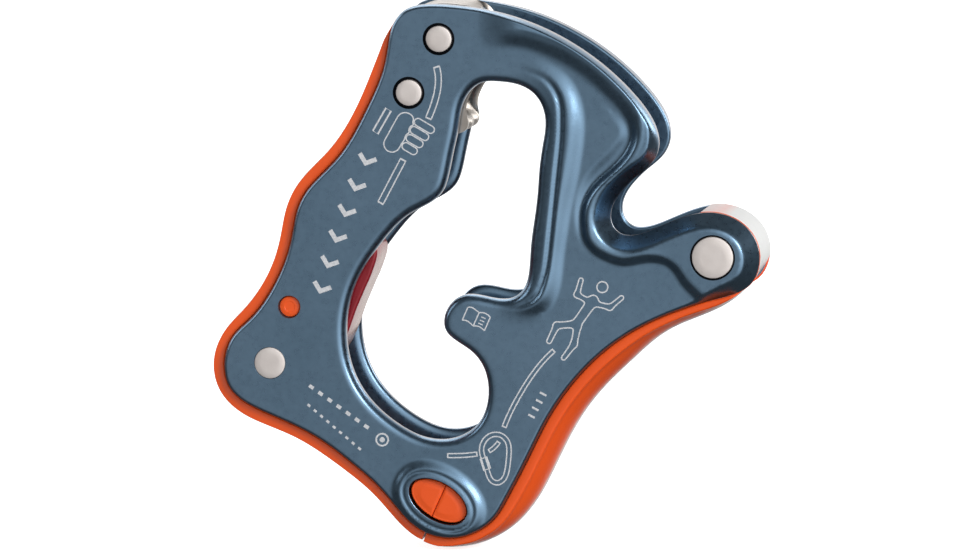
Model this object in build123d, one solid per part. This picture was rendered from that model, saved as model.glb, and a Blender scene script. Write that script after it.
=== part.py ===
from build123d import *
import math
import os

# Assisted-braking belay device. Two mirror-image forged side plates stand 13 mm apart on steel
# sleeves and rivets. A two-part edge shell closes the left, the bottom and the nose, a steel
# insert closes the top left, and a sprung lever reaches into the round carabiner seat.
#
# Frame: +Z up, +X right, the front plate faces -Y, the mid-plane of the device is y = 0, and the
# origin lies in the round carabiner seat. All dimensions in millimetres.
# Points and axes are (x, z). Levels are distances from the mid-plane.

# ---------------------------------------------------------------- levels
INNER = 6.5               # inner face of a plate
FLAT = 10.5               # flat outer face of a plate
RAISED = 11.7             # top of the rim
RIDGE_TOP = FLAT + 0.95   # top of the ridges beside the slot
COLLAR_TOP = FLAT + 0.55  # top of the collar round the button window
HEAD_SEAT = 8.3           # seats under the rivet heads
HEAD_RECESS_FLOOR = HEAD_SEAT + 1.1  # wider recess round the insert rivets' heads
NOSE_RECESS_FLOOR = RAISED - 0.7     # wider recess round the nose rivet's heads
LIP = 8.6                 # faces of the edge shell's lip
BUTTON_FACE = FLAT - 0.1
PEG_FACE = 9.9
LEVER_HALF = INNER - 0.35

# ---------------------------------------------------------------- cutters and fits
OVER = 1.0                # how far a cutter runs past a face
THROUGH = 20.0            # half length of a cutter through the whole device
RUN = 0.03                # radial running clearance
RIVET_FIT = 0.01          # radial gap round a rivet's shank and heads

# ---------------------------------------------------------------- plate details
EDGE_ROUND = 0.8          # outer edge of a plate, outside
INNER_ROUND = 0.3         # outer edge of a plate, inside
KEY_ROUND = 0.8           # keyhole edges, both sides
RIM_ROOT = FLAT - 0.6     # the rim and ridges start inside the plate
COLLAR_ROOT = FLAT - 0.3
RIM_CHAMFER = 0.7
RIDGE_CHAMFER = 0.5
COLLAR_CHAMFER = 0.5
COLLAR_WIDTH = 2.3
RIDGE_HALVES = (1.15, 1.25)  # half widths of the two ridges

# ---------------------------------------------------------------- rivets and sleeves, diameters
INSERT_RIVETS = [(4.67, 66.12), (-1.36, 55.34)]
INSERT_SHANK, INSERT_HEAD, INSERT_RECESS = 4.2, 5.2, 6.2
LEVER_PIVOT = (-29.59, 0.77)
LEVER_SHANK, LEVER_HEAD = 4.5, 6.3
LEVER_SLEEVE = 6.4
NOSE_AXIS = (59.68, 23.86)
NOSE_SHANK, NOSE_HEAD, NOSE_RECESS = 6.0, 8.3, 8.9
NOSE_SLEEVE = 9.0
CROWN = 0.12              # chamfer round a rivet head

# ---------------------------------------------------------------- edge shell details
PEG_AXIS = (-25.60, 12.12)
PEG = 4.3                 # diameters of the peg, its hole in the plate and its boss
PEG_HOLE = PEG + 0.1
PEG_BOSS = 5.8
WEB_LENGTH, WEB_BELOW, WEB_ABOVE = 5.6, 1.2, 1.9  # web to the left of the peg, from its axis
OVAL_CENTRE = (4.62, -26.15)
OVAL_LONG, OVAL_SHORT = 12.8, 7.6
OVAL_TILT = -30.0         # degrees
OVAL_POINTS = 48
BUTTON_BACK = 1.1         # how far the button's back spreads past the window
BUTTON_GAP = 0.06         # between the button and the window
BUTTON_ROOT = INNER - 3   # the button's faces start inside its back
SPLIT_GAP = 0.08          # hairline between the two shells
SPLIT_X, SPLIT_Z = 0.418, 0.908  # direction of the split line
SPLIT_BLOCK = 260.0       # block that keeps one side of the split
LOFT_LEVELS = (-1, -0.9, -0.62, -0.3, 0, 0.3, 0.62, 0.9, 1)  # as fractions of LIP
# the outer edge draws in from mid depth to the lip by drop * (fraction of LIP) ** power
PALM_DROP, PALM_POWER = 0.80, 2.6
LEFT_DROP, LEFT_POWER = 0.16, 10

# ---------------------------------------------------------------- insert, lever and spring
SADDLE_R = 7.2            # rope saddle in the insert
SADDLE_START = (15.2, 0, 40)
SADDLE_DIR = (0.132, 0, 0.991)
SADDLE_LENGTH = 60
LEVER_ROUND = 0.6
WIRE = 0.9                # wire diameter
SPRING_MEAN = 4.35        # mean radius of the coil
SPRING_HALF = 1.5         # half the coil's height along Y, between wire centres
SPRING_TURNS = 3
FIXED_LEG, MOVING_LEG = 7.6, 6.2
LEG_POCKET_HALF = 0.8     # half width of the shell's pocket for the fixed leg
POCKET_NEAR, POCKET_FAR = 4.0, 8.2  # ends of that pocket, left of the pivot
COIL_ROOM_RADIAL, COIL_ROOM_SIDE = 0.4, 0.25
LEG_FIT = 0.06            # clearance of the moving leg in its groove
LEG_GROOVE = 6.6          # length of that groove
SLOT_REACH, SLOT_WIDTH = 9.0, 1.9  # lever's slot for the fixed leg
SLOT_DROP = 3.2           # floor of that slot below the leg

# ---------------------------------------------------------------- outlines, (x, z)
# outline of a side plate, clockwise from the top-left corner
PLATE_OUTLINE = [
    (-4.46, 69.44), (-2.30, 71.76), (1.30, 72.77), (5.94, 72.81), (11.33, 72.30), (16.49, 71.37),
    (21.43, 69.96), (26.23, 68.06), (30.83, 65.68), (35.20, 62.87), (39.27, 59.64), (43.00, 56.04),
    (46.02, 52.38), (47.96, 48.67), (48.39, 45.27), (47.05, 42.14), (43.96, 39.26), (40.89, 36.18),
    (39.00, 32.92), (39.01, 29.84), (40.75, 27.86), (43.95, 27.73), (48.25, 29.30), (53.32, 31.39),
    (57.48, 32.36), (61.29, 32.06), (64.75, 30.48), (67.26, 27.86), (68.44, 24.50), (68.14, 20.88),
    (66.47, 18.02), (63.32, 16.25), (58.25, 14.80), (53.09, 13.10), (48.20, 11.05), (43.64, 8.62),
    (39.45, 5.78), (35.62, 2.49), (32.12, -1.25), (28.98, -5.36), (26.25, -9.77), (23.69, -14.81),
    (21.02, -20.23), (18.17, -25.63), (15.82, -29.44), (12.88, -31.96), (9.21, -33.46),
    (5.30, -33.75), (1.55, -32.77), (-1.69, -30.56), (-5.15, -26.74), (-8.57, -23.07),
    (-12.82, -19.53), (-17.27, -16.17), (-21.53, -13.53), (-26.27, -11.32), (-31.86, -9.00),
    (-35.78, -6.90), (-38.19, -4.31), (-39.16, -0.87), (-38.77, 2.93), (-37.14, 6.27),
    (-33.87, 9.52), (-31.06, 12.91), (-28.52, 17.23), (-26.57, 21.70), (-25.33, 26.32),
    (-24.27, 31.38), (-22.60, 34.96), (-19.57, 38.47), (-15.90, 42.31), (-13.17, 46.21),
    (-10.63, 50.95), (-8.20, 56.08), (-6.57, 60.66), (-5.63, 65.60),
]
# keyhole: carabiner slot at the top, round seat at the bottom
KEYHOLE = [
    (16.36, 57.67), (20.30, 57.11), (23.17, 55.63), (25.06, 53.02), (25.72, 49.75), (25.24, 45.59),
    (24.56, 40.85), (24.17, 35.61), (23.54, 30.51), (22.85, 25.25), (22.50, 20.47), (21.66, 17.09),
    (19.71, 14.95), (16.81, 14.40), (12.59, 15.07), (9.25, 15.01), (6.88, 13.46), (5.44, 10.57),
    (5.69, 7.97), (7.99, 5.72), (11.41, 3.34), (13.35, 0.63), (14.25, -2.80), (14.08, -6.46),
    (12.85, -9.73), (10.59, -12.17), (7.45, -13.66), (3.89, -14.04), (0.28, -13.31),
    (-3.33, -11.54), (-6.83, -9.03), (-9.77, -6.08), (-12.00, -2.75), (-13.50, 0.99),
    (-14.26, 5.04), (-14.28, 9.22), (-13.59, 13.39), (-12.22, 17.37), (-10.18, 21.11),
    (-7.37, 25.01), (-4.40, 28.54), (-1.38, 31.08), (2.47, 33.23), (4.95, 35.41), (6.22, 38.59),
    (7.24, 43.43), (8.30, 48.37), (9.04, 52.57), (10.58, 55.59), (12.94, 57.37),
]
# raised rim of the forging: outer edge along the hook, notch and nose, then its inner edge back
RIM_CREST = [
    (16.74, 70.13), (21.41, 68.81), (25.68, 67.19), (29.53, 65.26), (33.39, 63.12), (36.85, 60.68),
    (39.89, 58.12), (42.53, 55.46), (44.66, 52.68), (46.09, 50.09), (46.49, 47.88), (45.68, 44.95),
    (42.43, 41.39), (38.67, 37.24), (36.54, 33.98), (36.03, 31.00), (37.15, 27.95), (39.28, 25.77),
    (41.72, 25.14), (44.97, 25.69), (48.22, 27.17), (51.87, 28.66), (55.94, 29.75), (59.18, 30.10),
    (62.84, 29.29), (65.28, 27.23), (66.29, 24.33), (65.68, 21.49), (63.65, 19.24), (60.40, 17.86),
    (57.15, 17.69),
]
RIM_INNER = [
    (56.32, 17.66), (54.70, 19.24), (53.28, 21.22), (51.04, 23.19), (48.20, 23.94), (44.95, 23.67),
    (41.70, 23.19), (38.86, 23.94), (36.42, 25.30), (34.90, 27.28), (34.43, 29.69), (34.43, 32.25),
    (35.26, 34.95), (37.29, 37.67), (40.34, 40.43), (43.06, 43.51), (44.59, 46.89), (44.59, 50.59),
    (43.06, 53.91), (40.34, 57.05), (36.97, 60.16), (33.58, 62.61), (30.19, 64.55), (26.13, 66.24),
    (22.06, 67.40), (18.35, 67.67),
]
# centre lines of the two ridges to the right of the slot, from the top down
RIDGES = [
    [
        (23.39, 59.25), (25.62, 58.29), (27.25, 56.71), (28.36, 54.52), (28.77, 51.30),
        (28.67, 46.87), (28.06, 40.81), (27.45, 34.76), (27.00, 30.32), (26.44, 24.66),
        (25.83, 20.62), (25.01, 17.78),
    ],
    [
        (26.64, 60.22), (29.08, 58.76), (30.90, 56.39), (32.02, 53.39), (32.43, 49.37),
        (31.92, 43.72), (30.90, 37.85), (29.79, 32.79), (29.08, 28.34), (28.47, 24.30),
        (28.06, 20.26), (27.25, 16.62),
    ],
]
# outer edge of the edge shells from the nose round the bottom to the top left:
# at mid depth, at the face of the lip, and how far each point belongs to the palm swell
SHELL_MID = [
    (67.13, 20.82), (64.36, 16.27), (60.26, 13.02), (55.46, 10.80), (50.66, 8.68), (46.34, 5.79),
    (42.46, 2.19), (38.65, -1.48), (35.08, -5.32), (31.98, -9.51), (29.34, -14.05),
    (26.98, -18.81), (24.66, -23.61), (21.99, -28.13), (18.47, -31.98), (13.92, -34.80),
    (8.76, -36.19), (3.52, -35.84), (-1.19, -33.68), (-5.08, -30.08), (-8.64, -26.17),
    (-12.59, -22.68), (-16.86, -19.56), (-21.23, -16.66), (-25.87, -14.18), (-30.87, -12.22),
    (-35.68, -10.06), (-39.52, -6.69), (-41.61, -1.79), (-41.17, 3.39), (-38.53, 7.90),
    (-35.00, 11.88), (-31.86, 16.12), (-29.50, 20.81), (-28.03, 25.90), (-26.96, 31.11),
    (-24.92, 35.84), (-21.62, 39.88), (-17.93, 43.73), (-14.83, 48.00), (-12.28, 52.61),
    (-10.18, 57.45), (-8.26, 62.37), (-6.18, 67.22),
]
SHELL_LIP = [
    (67.49, 20.69), (64.31, 16.41), (59.94, 14.21), (54.80, 12.66), (49.76, 10.66), (44.93, 8.22),
    (40.25, 5.13), (35.88, 1.34), (32.04, -2.92), (28.77, -7.49), (26.01, -12.36),
    (23.65, -17.18), (21.30, -21.87), (18.85, -26.48), (16.45, -30.24), (12.95, -33.08),
    (8.47, -34.37), (3.98, -33.68), (0.00, -31.90), (-3.50, -28.69), (-7.00, -24.65),
    (-11.14, -20.86), (-15.41, -17.66), (-19.98, -14.61), (-24.92, -11.98), (-29.94, -10.01),
    (-34.51, -7.96), (-37.64, -5.20), (-39.23, -1.45), (-38.84, 2.79), (-36.91, 6.55),
    (-33.23, 10.26), (-29.79, 14.91), (-27.29, 19.88), (-25.69, 25.37), (-24.63, 30.54),
    (-22.86, 34.60), (-19.91, 38.18), (-16.11, 42.16), (-12.80, 46.84), (-10.30, 51.61),
    (-8.00, 56.55), (-6.27, 61.95), (-5.34, 67.05),
]
PALM_SHARE = [1.0] * 16 + [0.71, 0.11] + [0.0] * 26
# inner wall of the edge shells, from the top left down the left side and on to the nose
CAVITY = [
    (-2.75, 70.50), (-3.05, 66.60), (-4.10, 61.60), (-5.90, 56.90), (-8.30, 52.10),
    (-10.90, 47.50), (-14.00, 43.40), (-17.60, 39.70), (-20.20, 36.20), (-21.60, 31.50),
    (-22.80, 26.00), (-24.30, 20.80), (-26.50, 16.20), (-29.20, 12.30), (-32.00, 9.20),
    (-34.60, 6.20), (-36.10, 3.20), (-36.50, 0.20), (-35.90, -2.80), (-33.80, -5.20),
    (-30.50, -6.80), (-26.50, -8.40), (-21.50, -10.60), (-16.50, -13.60), (-12.00, -16.90),
    (-7.80, -20.40), (-3.60, -23.20), (0.60, -22.60), (5.00, -20.90), (9.50, -21.60),
    (13.60, -22.60), (17.00, -20.20), (20.60, -13.60), (23.20, -8.40), (26.20, -3.40),
    (29.60, 0.90), (33.30, 4.90), (37.40, 8.50), (41.90, 11.60), (46.60, 14.20), (50.00, 17.20),
    (51.60, 21.00), (52.60, 25.20), (53.80, 29.20), (55.40, 31.85),
]
# nose of the right shell: from the inner wall round the tip to the start of the outer edge
NOSE_WRAP = [
    (57.45, 32.22), (61.23, 31.92), (64.67, 30.38), (67.14, 27.80), (68.30, 24.50),
]
# top end of the left shell: from the outer edge round the corner of the plates
TOP_WRAP = [(-5.45, 69.10), (-4.10, 70.95)]
# steel insert at the top left, clockwise from its top-left corner
INSERT_OUTLINE = [
    (-2.55, 67.00), (-2.20, 70.20), (0.60, 71.75), (4.60, 72.25), (9.00, 71.95), (12.60, 71.40),
    (14.60, 70.20), (15.00, 67.50), (14.30, 64.00), (13.20, 60.80), (11.95, 57.70), (10.60, 54.90),
    (9.85, 52.20), (9.90, 49.90), (9.30, 48.10), (7.80, 46.90), (5.40, 46.60), (2.40, 47.60),
    (-0.80, 49.30), (-3.70, 51.20), (-5.20, 53.40), (-4.70, 56.80), (-3.40, 61.20),
]
# lever with its hub round the pivot and its nose in the carabiner seat
LEVER_OUTLINE = [
    (-35.79, 0.77), (-34.50, -3.00), (-31.60, -5.10), (-27.80, -5.20), (-23.40, -3.30),
    (-19.20, -0.30), (-16.20, 3.20), (-14.60, 6.60), (-13.31, 10.23), (-12.58, 12.14),
    (-11.77, 14.01), (-10.97, 15.88), (-10.12, 17.73), (-9.41, 19.64), (-8.80, 21.57),
    (-8.75, 23.60), (-9.90, 25.10), (-11.90, 25.00), (-14.00, 23.00), (-16.30, 19.40),
    (-18.60, 15.40), (-21.00, 11.40), (-23.60, 8.40), (-26.90, 7.00), (-30.90, 6.85),
    (-34.20, 4.90),
]


# ---------------------------------------------------------------- helpers
def spline_loop(points, y):
    """Closed smooth loop through (x, z) points at height y."""
    return Wire([Edge.make_spline([Vector(x, y, z) for x, z in points], periodic=True)])


def two_sided(first, second, y):
    """Closed wire of two smooth runs of (x, z) points joined by straight ends."""
    out = Edge.make_spline([Vector(x, y, z) for x, z in first])
    back = Edge.make_spline([Vector(x, y, z) for x, z in second])
    return Wire([out, Edge.make_line(out @ 1, back @ 0), back, Edge.make_line(back @ 1, out @ 0)])


def strip(centre, half, y):
    """Closed wire round a centre line, half wide on either side."""
    left, right = [], []
    last = len(centre) - 1
    for i, (x, z) in enumerate(centre):
        before, after = centre[max(i - 1, 0)], centre[min(i + 1, last)]
        run_x, run_z = after[0] - before[0], after[1] - before[1]
        length = math.hypot(run_x, run_z)
        normal_x, normal_z = -run_z / length, run_x / length
        left.append((x + normal_x * half, z + normal_z * half))
        right.append((x - normal_x * half, z - normal_z * half))
    return two_sided(left, right[::-1], y)


def oval(y, grow=0.0):
    """Tilted ellipse of the button window at height y."""
    cos, sin = math.cos(math.radians(OVAL_TILT)), math.sin(math.radians(OVAL_TILT))
    points = []
    for i in range(OVAL_POINTS):
        angle = 2 * math.pi * i / OVAL_POINTS
        along = (OVAL_LONG / 2 + grow) * math.cos(angle)
        across = (OVAL_SHORT / 2 + grow) * math.sin(angle)
        points.append((OVAL_CENTRE[0] + along * cos - across * sin,
                       OVAL_CENTRE[1] + along * sin + across * cos))
    return spline_loop(points, y)


def prism(wire, y0, y1):
    """Solid between y0 and y1 over a closed wire that lies at y0."""
    return Solid.extrude(Face(wire), Vector(0, y1 - y0, 0))


def smooth_prism(points, y0, y1):
    return prism(spline_loop(points, y0), y0, y1)


def rod(axis, radius, y0, y1):
    """Cylinder along Y."""
    base = Plane(origin=(axis[0], min(y0, y1), axis[1]), z_dir=(0, 1, 0))
    return Solid.make_cylinder(radius, abs(y1 - y0), base)


def block(*spans):
    """Box from its (low, high) spans along X, Y and Z."""
    centre = [(low + high) / 2 for low, high in spans]
    return Pos(*centre) * Box(*[high - low for low, high in spans])


def tidy(shape):
    """The largest solid of a boolean result."""
    return max(shape.solids(), key=lambda solid: solid.volume)


def edges_at(shape, y, near=None):
    """Edges that lie wholly at one y and, if given, pass near an (x, z) point."""
    found = []
    for edge in shape.edges():
        box = edge.bounding_box()
        if abs(box.min.Y - y) < 1e-3 and abs(box.max.Y - y) < 1e-3:
            if near is None or edge.distance_to(Vector(near[0], y, near[1])) < 0.3:
                found.append(edge)
    return found


def raised(wire, root, top, chamfer):
    """Prism from root to top with its top edge chamfered."""
    body = prism(wire, root, top)
    edges = edges_at(body, top)
    for share in (1, 0.7, 0.5, 0.3):
        # a tight curve in the outline can refuse the full chamfer, so smaller ones follow
        try:
            return body.chamfer(share * chamfer, share * chamfer, edges)
        except ValueError:
            continue
    return body


# ---------------------------------------------------------------- side plates
def bore(plate, axis, steps, end):
    """Cut coaxial holes, each from its own level out to end; steps are (diameter, level)."""
    for diameter, level in steps:
        plate = plate - rod(axis, diameter / 2, level, end)
    return plate


def make_front_plate():
    inside, outside, above = -INNER + OVER, -FLAT - OVER, -RAISED - OVER
    plate = smooth_prism(PLATE_OUTLINE, -INNER, -FLAT)
    plate = plate.fillet(EDGE_ROUND, edges_at(plate, -FLAT))
    plate = plate.fillet(INNER_ROUND, edges_at(plate, -INNER))
    plate = tidy(plate - smooth_prism(KEYHOLE, inside, outside))
    mouth = edges_at(plate, -FLAT, near=KEYHOLE[0])
    throat = edges_at(plate, -INNER, near=KEYHOLE[0])
    plate = plate.fillet(KEY_ROUND, mouth + throat)

    # raised rim, then the ridges beside the slot
    rim = two_sided(RIM_CREST, RIM_INNER, -RIM_ROOT)
    plate = plate + raised(rim, -RIM_ROOT, -RAISED, RIM_CHAMFER)
    for centre, half in zip(RIDGES, RIDGE_HALVES):
        ridge = strip(centre, half, -RIM_ROOT)
        plate = plate + raised(ridge, -RIM_ROOT, -RIDGE_TOP, RIDGE_CHAMFER)
    plate = tidy(plate)

    # collar round the oval window, and the window
    collar = oval(-COLLAR_ROOT, COLLAR_WIDTH)
    plate = tidy(plate + raised(collar, -COLLAR_ROOT, -COLLAR_TOP, COLLAR_CHAMFER))
    plate = tidy(plate - prism(oval(inside), inside, above))

    # rivet holes with their head seats, and the peg's hole
    insert_steps = [(INSERT_SHANK, inside), (INSERT_HEAD, -HEAD_SEAT),
                    (INSERT_RECESS, -HEAD_RECESS_FLOOR)]
    for axis in INSERT_RIVETS:
        plate = bore(plate, axis, insert_steps, outside)
    plate = bore(plate, LEVER_PIVOT, [(LEVER_SHANK, inside), (LEVER_HEAD, -HEAD_SEAT)], outside)
    nose_steps = [(NOSE_SHANK, inside), (NOSE_HEAD, -HEAD_SEAT),
                  (NOSE_RECESS, -NOSE_RECESS_FLOOR)]
    plate = bore(plate, NOSE_AXIS, nose_steps, above)
    plate = bore(plate, PEG_AXIS, [(PEG_HOLE, inside)], outside)
    return tidy(plate)


# ---------------------------------------------------------------- edge shells
def shell_section(y):
    """Closed section of the edge shell at height y."""
    depth = abs(y) / LIP
    palm = 1.0 - PALM_DROP * depth ** PALM_POWER
    left = 1.0 - LEFT_DROP * depth ** LEFT_POWER
    outer = list(NOSE_WRAP)
    for (mid_x, mid_z), (lip_x, lip_z), share in zip(SHELL_MID, SHELL_LIP, PALM_SHARE):
        swell = share * palm + (1 - share) * left
        outer.append((lip_x + (mid_x - lip_x) * swell, lip_z + (mid_z - lip_z) * swell))
    return two_sided(outer + TOP_WRAP, CAVITY, y)


def make_shell_body():
    """Both edge shells in one piece."""
    sections = [shell_section(share * LIP) for share in LOFT_LEVELS]
    body = Solid.make_loft(sections, ruled=False)
    for side in (-1, 1):
        body = tidy(body - smooth_prism(PLATE_OUTLINE, side * INNER, side * 30))
    # thick back of the button, and the button's two faces
    body = body + prism(oval(-INNER, BUTTON_BACK), -INNER, INNER)
    for side in (-1, 1):
        root = side * BUTTON_ROOT
        body = body + prism(oval(root, -BUTTON_GAP), root, side * BUTTON_FACE)
    # locating peg on a web from the left wall
    body = body + rod(PEG_AXIS, PEG / 2, -PEG_FACE, PEG_FACE)
    body = body + rod(PEG_AXIS, PEG_BOSS / 2, -INNER, INNER)
    x, z = PEG_AXIS
    body = body + block((x - WEB_LENGTH, x), (-INNER, INNER), (z - WEB_BELOW, z + WEB_ABOVE))
    body = tidy(body)
    body = body - rod(NOSE_AXIS, NOSE_SLEEVE / 2 + RUN, -THROUGH, THROUGH)
    # pocket for the fixed leg of the spring
    x, z = LEVER_PIVOT
    leg_z = z + SPRING_MEAN
    return body - block((x - POCKET_FAR, x - POCKET_NEAR),
                        (-SPRING_HALF - LEG_POCKET_HALF, -SPRING_HALF + LEG_POCKET_HALF),
                        (leg_z - LEG_POCKET_HALF, leg_z + LEG_POCKET_HALF))


def make_shells():
    """Left and right shell, which meet on a line across the button."""
    body = make_shell_body()
    split = Plane(origin=(OVAL_CENTRE[0], 0, OVAL_CENTRE[1]), x_dir=(SPLIT_X, 0, SPLIT_Z),
                  z_dir=(SPLIT_Z, 0, -SPLIT_X)).location
    halves = []
    for side in (-1, 1):
        offset = side * (SPLIT_BLOCK / 2 + SPLIT_GAP / 2)
        keep = split * (Pos(0, 0, offset) * Box(SPLIT_BLOCK, SPLIT_BLOCK, SPLIT_BLOCK))
        halves.append(tidy(body & keep))
    return halves


# ---------------------------------------------------------------- insert, rivets and sleeves
def make_insert():
    body = smooth_prism(INSERT_OUTLINE, -INNER, INNER)
    # rope saddle along the side that faces the slot
    saddle = Plane(origin=SADDLE_START, z_dir=SADDLE_DIR)
    body = tidy(body - Solid.make_cylinder(SADDLE_R, SADDLE_LENGTH, saddle))
    for axis in INSERT_RIVETS:
        body = body - rod(axis, INSERT_SHANK / 2, -THROUGH, THROUGH)
    return tidy(body)


def make_rivet(axis, shank, head, face):
    """Rivet with a head at both ends, each out to face."""
    body = rod(axis, shank / 2 - RIVET_FIT, -face + 1, face - 1)
    for side in (-1, 1):
        end = rod(axis, head / 2 - RIVET_FIT, side * HEAD_SEAT, side * face)
        body = body + end.chamfer(CROWN, CROWN, edges_at(end, side * face))
    return tidy(body)


def make_sleeve(axis, outer, inner):
    return tidy(rod(axis, outer / 2, -INNER, INNER) - rod(axis, inner / 2, -THROUGH, THROUGH))


# ---------------------------------------------------------------- lever and spring
def make_lever():
    body = smooth_prism(LEVER_OUTLINE, -LEVER_HALF, LEVER_HALF)
    body = body.fillet(LEVER_ROUND, edges_at(body, -LEVER_HALF) + edges_at(body, LEVER_HALF))
    # room for the sleeve and for the coil round it
    half = SPRING_HALF + WIRE / 2 + COIL_ROOM_SIDE
    body = body - rod(LEVER_PIVOT, LEVER_SLEEVE / 2 + RUN, -THROUGH, THROUGH)
    body = body - rod(LEVER_PIVOT, SPRING_MEAN + WIRE / 2 + COIL_ROOM_RADIAL, -half, half)
    # the fixed leg leaves to the left through a slot, the moving leg lies in a groove in the arm
    x, z = LEVER_PIVOT
    leg_z = z + SPRING_MEAN
    body = body - block((x - SLOT_REACH, x), (-half, -half + SLOT_WIDTH),
                        (leg_z - SLOT_DROP, z + SLOT_REACH))
    leg = WIRE / 2 + LEG_FIT
    body = body - block((x, x + LEG_GROOVE), (SPRING_HALF - leg, SPRING_HALF + leg),
                        (leg_z - leg, leg_z + leg))
    return tidy(body)


def make_spring():
    """Coil round the sleeve; both legs leave from the top of the coil."""
    x, z = LEVER_PIVOT
    height = 2 * SPRING_HALF
    helix = Edge.make_helix(pitch=height / SPRING_TURNS, height=height, radius=SPRING_MEAN)
    # stand the helix along Y with its ends at the top
    helix = helix.rotate(Axis.X, -90).rotate(Axis.Y, -90).moved(Location((x, -SPRING_HALF, z)))
    ring = Wire([Edge.make_circle(WIRE / 2, Plane(origin=helix @ 0, z_dir=helix % 0))])
    spring = Solid.sweep(Face(ring), path=Wire([helix]))
    for side, length in ((-1, FIXED_LEG), (1, MOVING_LEG)):
        start = Plane(origin=(x, side * SPRING_HALF, z + SPRING_MEAN), z_dir=(side, 0, 0))
        spring = spring + Solid.make_cylinder(WIRE / 2, length, start)
    return tidy(spring)


def main():
    front = make_front_plate()
    left, right = make_shells()
    insert_rivets = [make_rivet(axis, INSERT_SHANK, INSERT_HEAD, FLAT + 0.1)
                     for axis in INSERT_RIVETS]
    parts = {
        "front_plate": front,
        "rear_plate": front.mirror(Plane.XZ),
        "left_shell": left,
        "right_shell": right,
        "friction_insert": make_insert(),
        "insert_rivets": Compound(children=insert_rivets),
        "lever_rivet": make_rivet(LEVER_PIVOT, LEVER_SHANK, LEVER_HEAD, FLAT + 0.05),
        "nose_rivet": make_rivet(NOSE_AXIS, NOSE_SHANK, NOSE_HEAD, RAISED + 0.05),
        "lever_bush": make_sleeve(LEVER_PIVOT, LEVER_SLEEVE, LEVER_SHANK),
        "nose_spacer": make_sleeve(NOSE_AXIS, NOSE_SLEEVE, NOSE_SHANK),
        "cam_lever": make_lever(),
        "lever_spring": make_spring(),
    }
    os.makedirs("parts", exist_ok=True)
    for name, shape in parts.items():
        export_step(shape, f"parts/{name}.step")


main()
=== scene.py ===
# A hand-sized forged mechanism: two mirrored anodised plates round an orange plastic edge shell, with
# a steel insert, rivets, a red lever and its spring. The plates lie parallel to the XZ plane. The
# front faces -Y, +Z is up, and the nose is at +X. Shapes are in mm; lights and camera are in metres.
import math

import bmesh
import bpy
import numpy as np
from mathutils import Vector, Matrix, geometry


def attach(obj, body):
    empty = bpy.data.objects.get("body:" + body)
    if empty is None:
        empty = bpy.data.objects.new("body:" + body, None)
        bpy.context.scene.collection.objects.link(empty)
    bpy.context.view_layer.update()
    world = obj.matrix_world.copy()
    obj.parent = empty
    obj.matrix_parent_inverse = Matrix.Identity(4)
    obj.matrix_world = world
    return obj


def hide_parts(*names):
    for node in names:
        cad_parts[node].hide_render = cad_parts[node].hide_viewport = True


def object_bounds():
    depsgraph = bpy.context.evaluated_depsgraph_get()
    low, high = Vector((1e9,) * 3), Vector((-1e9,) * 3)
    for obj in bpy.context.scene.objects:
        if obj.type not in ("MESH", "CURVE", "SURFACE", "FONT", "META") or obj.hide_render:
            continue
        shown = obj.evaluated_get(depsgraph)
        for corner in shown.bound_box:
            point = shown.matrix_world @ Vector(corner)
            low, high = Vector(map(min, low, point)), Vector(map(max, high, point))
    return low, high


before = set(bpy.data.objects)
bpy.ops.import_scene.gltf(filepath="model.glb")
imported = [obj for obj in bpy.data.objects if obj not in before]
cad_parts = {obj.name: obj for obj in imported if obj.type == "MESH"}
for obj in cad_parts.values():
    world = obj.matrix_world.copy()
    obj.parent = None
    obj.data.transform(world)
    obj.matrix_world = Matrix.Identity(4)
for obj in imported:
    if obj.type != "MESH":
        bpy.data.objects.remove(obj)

CAD_BOX = [list(v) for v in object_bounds()]
MM = 0.001

# ------------------------------------------------------------------ dimensions, mm
# distances from the middle plane y = 0
INNER_FACE = 6.5        # inner face of each plate
PARTING = 7.75          # line round the plate edge where its two roundings meet
FLAT_FACE = 10.5        # outer face of each plate, before its relief
LIP = 8.6               # edge of the plastic shell
BUTTON_FACE = 10.3
RIM_HEIGHT = 1.2

# centres (x, z)
INSERT_RIVETS = [(4.67, 66.12), (-1.36, 55.34)]
LEVER_PIVOT = (-29.59, 0.77)
NOSE_AXIS = (59.68, 23.86)
PEG_AXIS = (-25.60, 12.12)

# oval window with the split button in it
WINDOW = np.array([4.62, -26.15])
WINDOW_LONG, WINDOW_SHORT = 12.8 / 2, 7.6 / 2       # half axes
WINDOW_COS, WINDOW_SIN = math.cos(math.radians(-30.0)), math.sin(math.radians(-30.0))
SPLIT_NORMAL = (0.908, -0.418)                      # across the split, towards the right shell

# holes: centre, then (radius, depth below the outer face) down the wall
INSERT_BORE = [(3.22, 0.0), (3.12, 0.12), (3.10, 1.1), (2.64, 1.1), (2.62, 2.2), (2.13, 2.2)]
HOLES = [
    (INSERT_RIVETS[0], INSERT_BORE),
    (INSERT_RIVETS[1], INSERT_BORE),
    (LEVER_PIVOT, [(3.24, 0.0), (3.17, 0.08), (3.16, 2.2), (2.27, 2.2)]),
    (NOSE_AXIS, [(4.52, 0.0), (4.42, 0.14), (4.40, 0.7), (4.18, 0.7), (4.17, 3.4), (3.02, 3.4)]),
    (PEG_AXIS, [(2.30, 0.0), (2.21, 0.10), (2.20, 3.0)]),
]
# window wall: (growth beyond the oval, depth)
WINDOW_BORE = [(0.16, 0.0), (0.05, 0.05), (0.0, 0.18), (0.0, 1.5), (0.0, 3.2)]

# distances in from a plate edge at which a ring of vertices follows it
EDGE_STEPS = [0.0, 0.05, 0.12, 0.22, 0.36, 0.52, 0.70, 0.9, 1.15, 1.45, 1.8, 2.2]
OUTER_STEPS = EDGE_STEPS + [2.6, 3.0]
SLOT_STEPS = EDGE_STEPS + [2.7]


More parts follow.
